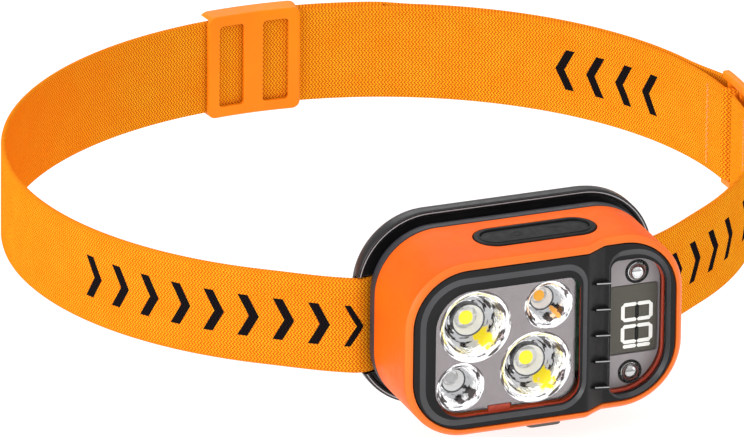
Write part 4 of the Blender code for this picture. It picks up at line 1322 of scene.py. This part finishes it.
def thread_material():
    mat = plain("orange_thread", (1.0, 0.33, 0.02), 0.7, Sheen_Weight=0.4)
    nodes = Nodes(mat)
    twist = nodes.noise(1.0, where=nodes.scaled((3.0, 3.0, 9.0)))
    nodes.colour(nodes.mix(nodes.spread(twist, 0.3, 0.7), (0.85, 0.2, 0.01), (1.0, 0.45, 0.04)))
    nodes.bump(twist, 0.05)
    return mat


def foam_material():
    """Brushed cloth over foam: short fibres and faint creases."""
    mat = plain("pad_cloth", (0.035, 0.022, 0.021), 0.93, Sheen_Weight=0.6, Sheen_Roughness=0.4)
    nodes = Nodes(mat)
    fibre = nodes.noise(3.5, 4.0, 0.7)
    crease = nodes.noise(0.35, 3.0)
    knit = nodes.add("TexVoronoi", nodes.where).outputs[0]
    knit.node.inputs["Scale"].default_value = 1.4
    nodes.colour(nodes.mix(nodes.spread(fibre, 0.3, 0.75), (0.016, 0.011, 0.011), (0.07, 0.045, 0.042)))
    nodes.bump(knit, 0.10, 0.8)
    nodes.bump(fibre, 0.06)
    nodes.bump(crease, 0.25, 0.5)
    return mat


def lens_material():
    """Clear polycarbonate: see-through apart from its gloss, which grows at a slant."""
    mat = plain("lens_clear", (0.9, 0.95, 1.0), 0.04)
    tree = mat.node_tree
    nodes = Nodes(mat)
    gloss = nodes.add("BsdfGlossy")
    gloss.inputs["Color"].default_value = (1.0, 1.0, 1.0, 1.0)
    haze = nodes.noise(0.4, 4.0)
    nodes.link(nodes.spread(haze, 0.4, 0.8, 0.02, 0.07), gloss.inputs["Roughness"])
    clear = nodes.add("BsdfTransparent")
    clear.inputs["Color"].default_value = (0.985, 0.99, 0.995, 1.0)
    fresnel = nodes.add("Fresnel")
    fresnel.inputs["IOR"].default_value = 1.45
    share = nodes.math("MULTIPLY", fresnel.outputs[0], 0.25)
    mixed = nodes.add("MixShader", share, clear.outputs[0], gloss.outputs[0])
    tree.nodes.remove(nodes.shader)
    tree.links.new(mixed.outputs[0], tree.nodes["Material Output"].inputs["Surface"])
    return mat


def chrome_material(name, colour, roughness, peel_depth=0.05):
    """Vacuum-plated plastic: a faint orange-peel ripple in a bright mirror."""
    mat = plain(name, colour, roughness, 1.0)
    nodes = Nodes(mat)
    peel = nodes.noise(0.55, 2.0)
    dust = nodes.noise(5.0, 2.0)
    nodes.roughness(nodes.spread(dust, 0.3, 0.8, roughness * 0.7, roughness * 1.6))
    nodes.colour(nodes.mix(nodes.spread(peel, 0.3, 0.7), tuple(0.94 * c for c in colour), colour))
    nodes.bump(peel, peel_depth)
    return mat


def cup_material(name, node, offset, half, colour):
    """Cup chrome with painted dark reflections in streaks, a painted reflection of the lamp's phosphor, and a
    painted glow.

    offset places that painted reflection from the lamp's centre, and half is its half width and half height.
    """
    mat = chrome_material(name, (0.97, 0.96, 0.95), 0.13, peel_depth=0.22)
    nodes = Nodes(mat)
    split = nodes.add("SeparateXYZ", nodes.where)
    # painted reflection of the lamp's phosphor: a ragged patch in the lamp's colour in the bowl
    across, up = middle(node).x + offset[0], middle(node).z + offset[1]
    right = nodes.math("DIVIDE", nodes.math("SUBTRACT", split.outputs[0], across), half[0])
    high = nodes.math("DIVIDE", nodes.math("SUBTRACT", split.outputs[2], up), half[1])
    reach = nodes.squares(right, high)
    ragged = nodes.math("MULTIPLY_ADD", nodes.noise(0.7, 3.0), 2.4, reach)
    painted_reflection = nodes.spread(ragged, 1.7, 2.1, 1.0, 0.0)
    # painted dark reflections: dark streaks running out from the lamp's centre
    east = nodes.math("SUBTRACT", split.outputs[0], middle(node).x)
    north = nodes.math("SUBTRACT", split.outputs[2], middle(node).z)
    radius = nodes.math("SQRT", nodes.squares(east, north))
    swirl = nodes.add("CombineXYZ", nodes.math("DIVIDE", east, radius), nodes.math("MULTIPLY", radius, 0.8),
                      nodes.math("DIVIDE", north, radius)).outputs[0]
    painted_dark_streak = nodes.spread(nodes.noise(1.7, 3.0, where=swirl), 0.52, 0.58)
    metal = nodes.mix(painted_dark_streak, (0.97, 0.96, 0.95), (0.16, 0.13, 0.13))
    nodes.colour(nodes.mix(painted_reflection, metal, colour))
    # painted glow: the chrome emits white light away from the dark streaks, and the lamp's colour in the
    # patch
    sockets = nodes.shader.inputs
    nodes.link(nodes.math("SUBTRACT", 1.0, nodes.math("MULTIPLY", painted_reflection, 0.8)), sockets["Metallic"])
    nodes.link(nodes.mix(painted_reflection, (0.9, 0.9, 0.92), colour), sockets["Emission Color"])
    lit = nodes.spread(painted_dark_streak, 0.0, 1.0, 0.5, 0.0)
    painted_glow_strength = nodes.math("MAXIMUM", lit, nodes.math("MULTIPLY", painted_reflection, 0.5))
    nodes.link(painted_glow_strength, sockets["Emission Strength"])
    return mat


def circuit_material(name, mask):
    """Solder mask with square-cornered traces showing through it and bare pads."""
    mat = plain(name, mask, 0.4)
    nodes = Nodes(mat)
    cells = nodes.add("TexVoronoi", nodes.where, distance="CHEBYCHEV", feature="F1")
    cells.inputs["Scale"].default_value = 0.35
    cells.inputs["Randomness"].default_value = 0.6
    distance = cells.outputs["Distance"]
    bands = nodes.math("PINGPONG", distance, 0.12)
    trace = nodes.spread(bands, 0.055, 0.075)
    pad = nodes.math("LESS_THAN", distance, 0.1)
    light = tuple(min(1.0, 1.6 * c + 0.02) for c in mask)
    nodes.colour(nodes.mix(pad, nodes.mix(trace, mask, light), (0.75, 0.6, 0.3)))
    nodes.link(pad, nodes.shader.inputs["Metallic"])
    nodes.roughness(nodes.spread(nodes.noise(2.0, 3.0), 0.3, 0.7, 0.3, 0.5))
    nodes.bump(trace, 0.03)
    return mat


def film_material():
    """Shrink film round the battery pack: glossy, with wrinkles near its ends."""
    mat = plain("battery_wrap", (0.06, 0.14, 0.42), 0.25)
    nodes = Nodes(mat)
    wrinkle = nodes.noise(1.2, 3.0, where=nodes.scaled((0.06, 0.5, 0.5)))
    nodes.colour(nodes.mix(nodes.spread(wrinkle, 0.3, 0.7), (0.045, 0.11, 0.36), (0.08, 0.18, 0.5)))
    nodes.roughness(nodes.spread(wrinkle, 0.3, 0.7, 0.18, 0.34))
    nodes.bump(wrinkle, 0.25, 0.6)
    return mat


def speckled(name, colour, second, roughness, scale=2.0, depth=0.02, **sockets):
    """Plain material with a fine two-tone speckle, for ceramic, phosphor, ink and seals."""
    mat = plain(name, colour, roughness, **sockets)
    nodes = Nodes(mat)
    speckle = nodes.noise(scale, 4.0, 0.6)
    nodes.colour(nodes.mix(nodes.spread(speckle, 0.35, 0.65), colour, second))
    nodes.roughness(nodes.spread(speckle, 0.3, 0.7, roughness - 0.05, roughness + 0.07))
    nodes.bump(speckle, depth)
    return mat


# ---------------------------------------------------------------- assembly

def dress(mat, *nodes):
    """Gives CAD nodes that stay a better material."""
    for node in nodes:
        obj = frame["nodes"][node]
        obj.data.materials.clear()
        obj.data.materials.append(mat)


def main():
    make_camera()
    make_studio()

    orange = moulded("orange_shell", (0.96, 0.135, 0.006), (0.93, 0.115, 0.007), 0.42, (1.0, 0.22, 0.04),
                     Specular_IOR_Level=0.06)
    buckle = moulded("orange_buckle", (0.96, 0.27, 0.004), (0.94, 0.24, 0.005), 0.45, (1.0, 0.36, 0.02),
                     Specular_IOR_Level=0.15)
    # lighter orange for the front lip's faces that point forward, which catch the light: painted highlight
    lip = moulded("orange_lip_painted_highlight", (0.93, 0.19, 0.022), (0.91, 0.17, 0.02), 0.34, (1.0, 0.36, 0.1),
                  Specular_IOR_Level=0.2)
    black = moulded("black_plastic_satin", (0.006, 0.006, 0.007), (0.009, 0.009, 0.01), 0.34,
                    (0.04, 0.04, 0.043), radius=0.12, Specular_IOR_Level=0.22)
    # lighter, glossier black for the slopes of the recesses round the windows, which catch the light at a
    # slant: painted highlight
    slope = moulded("black_plastic_slope_painted_highlight", (0.05, 0.05, 0.054), (0.065, 0.065, 0.07), 0.34,
                    (0.16, 0.16, 0.165), radius=0.12, Specular_IOR_Level=0.4)
    # mid grey for light caught along edges: painted highlight on the bezel's rib tops and along the bracket
    # plate's front edge
    lighter_edge = moulded("painted_highlight_grey", (0.45, 0.45, 0.46), (0.55, 0.55, 0.56), 0.3, (0.6, 0.6, 0.6))
    plate_black = moulded("plate_black", (0.008, 0.008, 0.009), (0.012, 0.011, 0.012), 0.34,
                          (0.2, 0.2, 0.205), Specular_IOR_Level=0.3)
    housing_black = moulded("housing_black", (0.02, 0.019, 0.025), (0.026, 0.025, 0.032), 0.4,
                            (0.07, 0.07, 0.08), Specular_IOR_Level=0.35)
    rubber = moulded("silicone_black", (0.007, 0.0075, 0.008), (0.010, 0.0105, 0.011), 0.5,
                     (0.10, 0.105, 0.11), grain=9.0, depth=0.02, radius=0.12, Specular_IOR_Level=0.12)
    red = speckled("seal_red", (0.72, 0.06, 0.02), (0.8, 0.09, 0.03), 0.4)
    panel = speckled("panel_grey_paint", (0.42, 0.37, 0.375), (0.47, 0.42, 0.42), 0.32, scale=6.0)
    face = speckled("display_olive", (0.115, 0.105, 0.075), (0.13, 0.12, 0.09), 0.3, scale=9.0, depth=0.01,
                    Specular_IOR_Level=0.2)
    lit = speckled("digit_lit", (0.95, 0.93, 0.86), (1.0, 0.98, 0.92), 0.4, Emission_Strength=0.35,
                   Emission_Color=(1.0, 0.98, 0.92, 1.0))
    # near black: the unlit middle bars of the digits, and the painted shadow rings round the signal lamp and
    # the sensor
    unlit_and_shadow_black = speckled("digit_unlit_and_painted_shadow", (0.004, 0.003, 0.002), (0.007, 0.005, 0.004), 0.5,
                     Specular_IOR_Level=0.05)
    # the ceramic emits a little white light to lift it out of the shade deep in the cups: painted light on
    # the lamps' bases and the wells round them
    ceramic = speckled("lamp_ceramic_painted_glow", (0.75, 0.74, 0.72), (0.82, 0.81, 0.8), 0.35, scale=7.0,
                       Emission_Strength=0.2, Emission_Color=(1.0, 1.0, 1.0, 1.0))
    phosphor = speckled("phosphor_yellow", (1.0, 0.75, 0.01), (1.0, 0.85, 0.02), 0.45, scale=6.0,
                        Emission_Strength=0.5, Emission_Color=(1.0, 0.85, 0.01, 1.0))
    amber = speckled("phosphor_amber", (1.0, 0.42, 0.004), (1.0, 0.5, 0.01), 0.45, scale=6.0,
                     Emission_Strength=0.25, Emission_Color=(1.0, 0.4, 0.01, 1.0))
    pale = speckled("lamp_unlit", (0.62, 0.6, 0.58), (0.7, 0.68, 0.66), 0.3, scale=5.0)
    bright = chrome_material("cup_chrome", (0.92, 0.91, 0.9), 0.05)
    # dark chrome for the collar round each lamp: painted shadow and dark reflection at its edge
    collar = chrome_material("lamp_collar_painted_shadow", (0.12, 0.12, 0.12), 0.2)
    yellow, amber_reflection_colour = (1.0, 0.78, 0.01), (1.0, 0.45, 0.08)
    # painted reflection of a lamp's phosphor in its cup: offset, half size and colour; the red lamp's falls
    # outside its cup
    painted_reflections = {"spot_led": ((3.6, -4.6), (2.4, 2.6), yellow), "flood_led": ((3.6, -4.6), (2.4, 2.6), yellow),
             "amber_led": ((2.9, -3.4), (0.8, 0.8), amber_reflection_colour),
             "red_led": ((9.0, -9.0), (0.1, 0.1), yellow)}
    cups = {node: cup_material(node.replace("_led", "_cup"), node, *painted_reflection) for node, painted_reflection in painted_reflections.items()}
    mirror = chrome_material("reflector_grey", (0.34, 0.3, 0.3), 0.22)
    dark_dome = chrome_material("sensor_dark", (0.62, 0.61, 0.60), 0.06)
    steel = machined("steel_drawn", (0.62, 0.62, 0.63), 0.28)
    clear = lens_material()
    foam = foam_material()
    thread = thread_material()

    make_front_shell(orange, lip)
    make_rear_housing(housing_black)
    make_bezel(black, slope, lighter_edge)
    make_lens("main_lens", MAIN_WINDOW, MAIN_RADII, clear, MAIN_LIP)
    make_lens("display_lens", DISPLAY_WINDOW, DISPLAY_RADII, clear, DISPLAY_LIP)
    make_seal("main_lens_seal", MAIN_WINDOW, MAIN_RADII, 0.3, red, MAIN_LIP, 0.35)
    make_seal("display_lens_seal", DISPLAY_WINDOW, DISPLAY_RADII, -0.2, red, DISPLAY_LIP)
    make_usb_socket(machined("steel_dark", (0.13, 0.125, 0.12), 0.25))
    make_reflector(mirror, cups, collar, ceramic)
    for node, size, lens, spot in (("spot_led", 3.6, 1.6, phosphor), ("flood_led", 3.6, 1.6, phosphor),
                                   ("amber_led", 2.8, 1.2, amber), ("red_led", 2.8, 1.2, pale)):
        make_led(node, size, lens, ceramic, spot, clear)
    make_display(face, panel, lit, unlit_and_shadow_black, bright, dark_dome)
    make_button(rubber)
    make_icons(rubber)

    make_bracket(plate_black, lighter_edge)
    make_pad(foam, thread)
    line = spline(band_centreline(), 0.8)
    cloth = webbing_material(line)
    stand_for(ribbon(line, cloth), "headband", "root")
    make_return_strap(cloth, thread)
    make_band_stitches(thread)
    make_ring(buckle)
    make_slider(buckle)

    screws = [name for name in frame["nodes"] if name.startswith("housing_screw")]
    dress(steel, "hinge_pin", "power_switch", "sensor_switch", *screws)
    dress(rubber, "housing_gasket")
    dress(black, "battery_tray")
    dress(circuit_material("board_white", (0.72, 0.72, 0.7)), "led_board")
    dress(circuit_material("board_green", (0.02, 0.13, 0.05)), "main_board", "switch_board")
    dress(film_material(), "battery")


main()
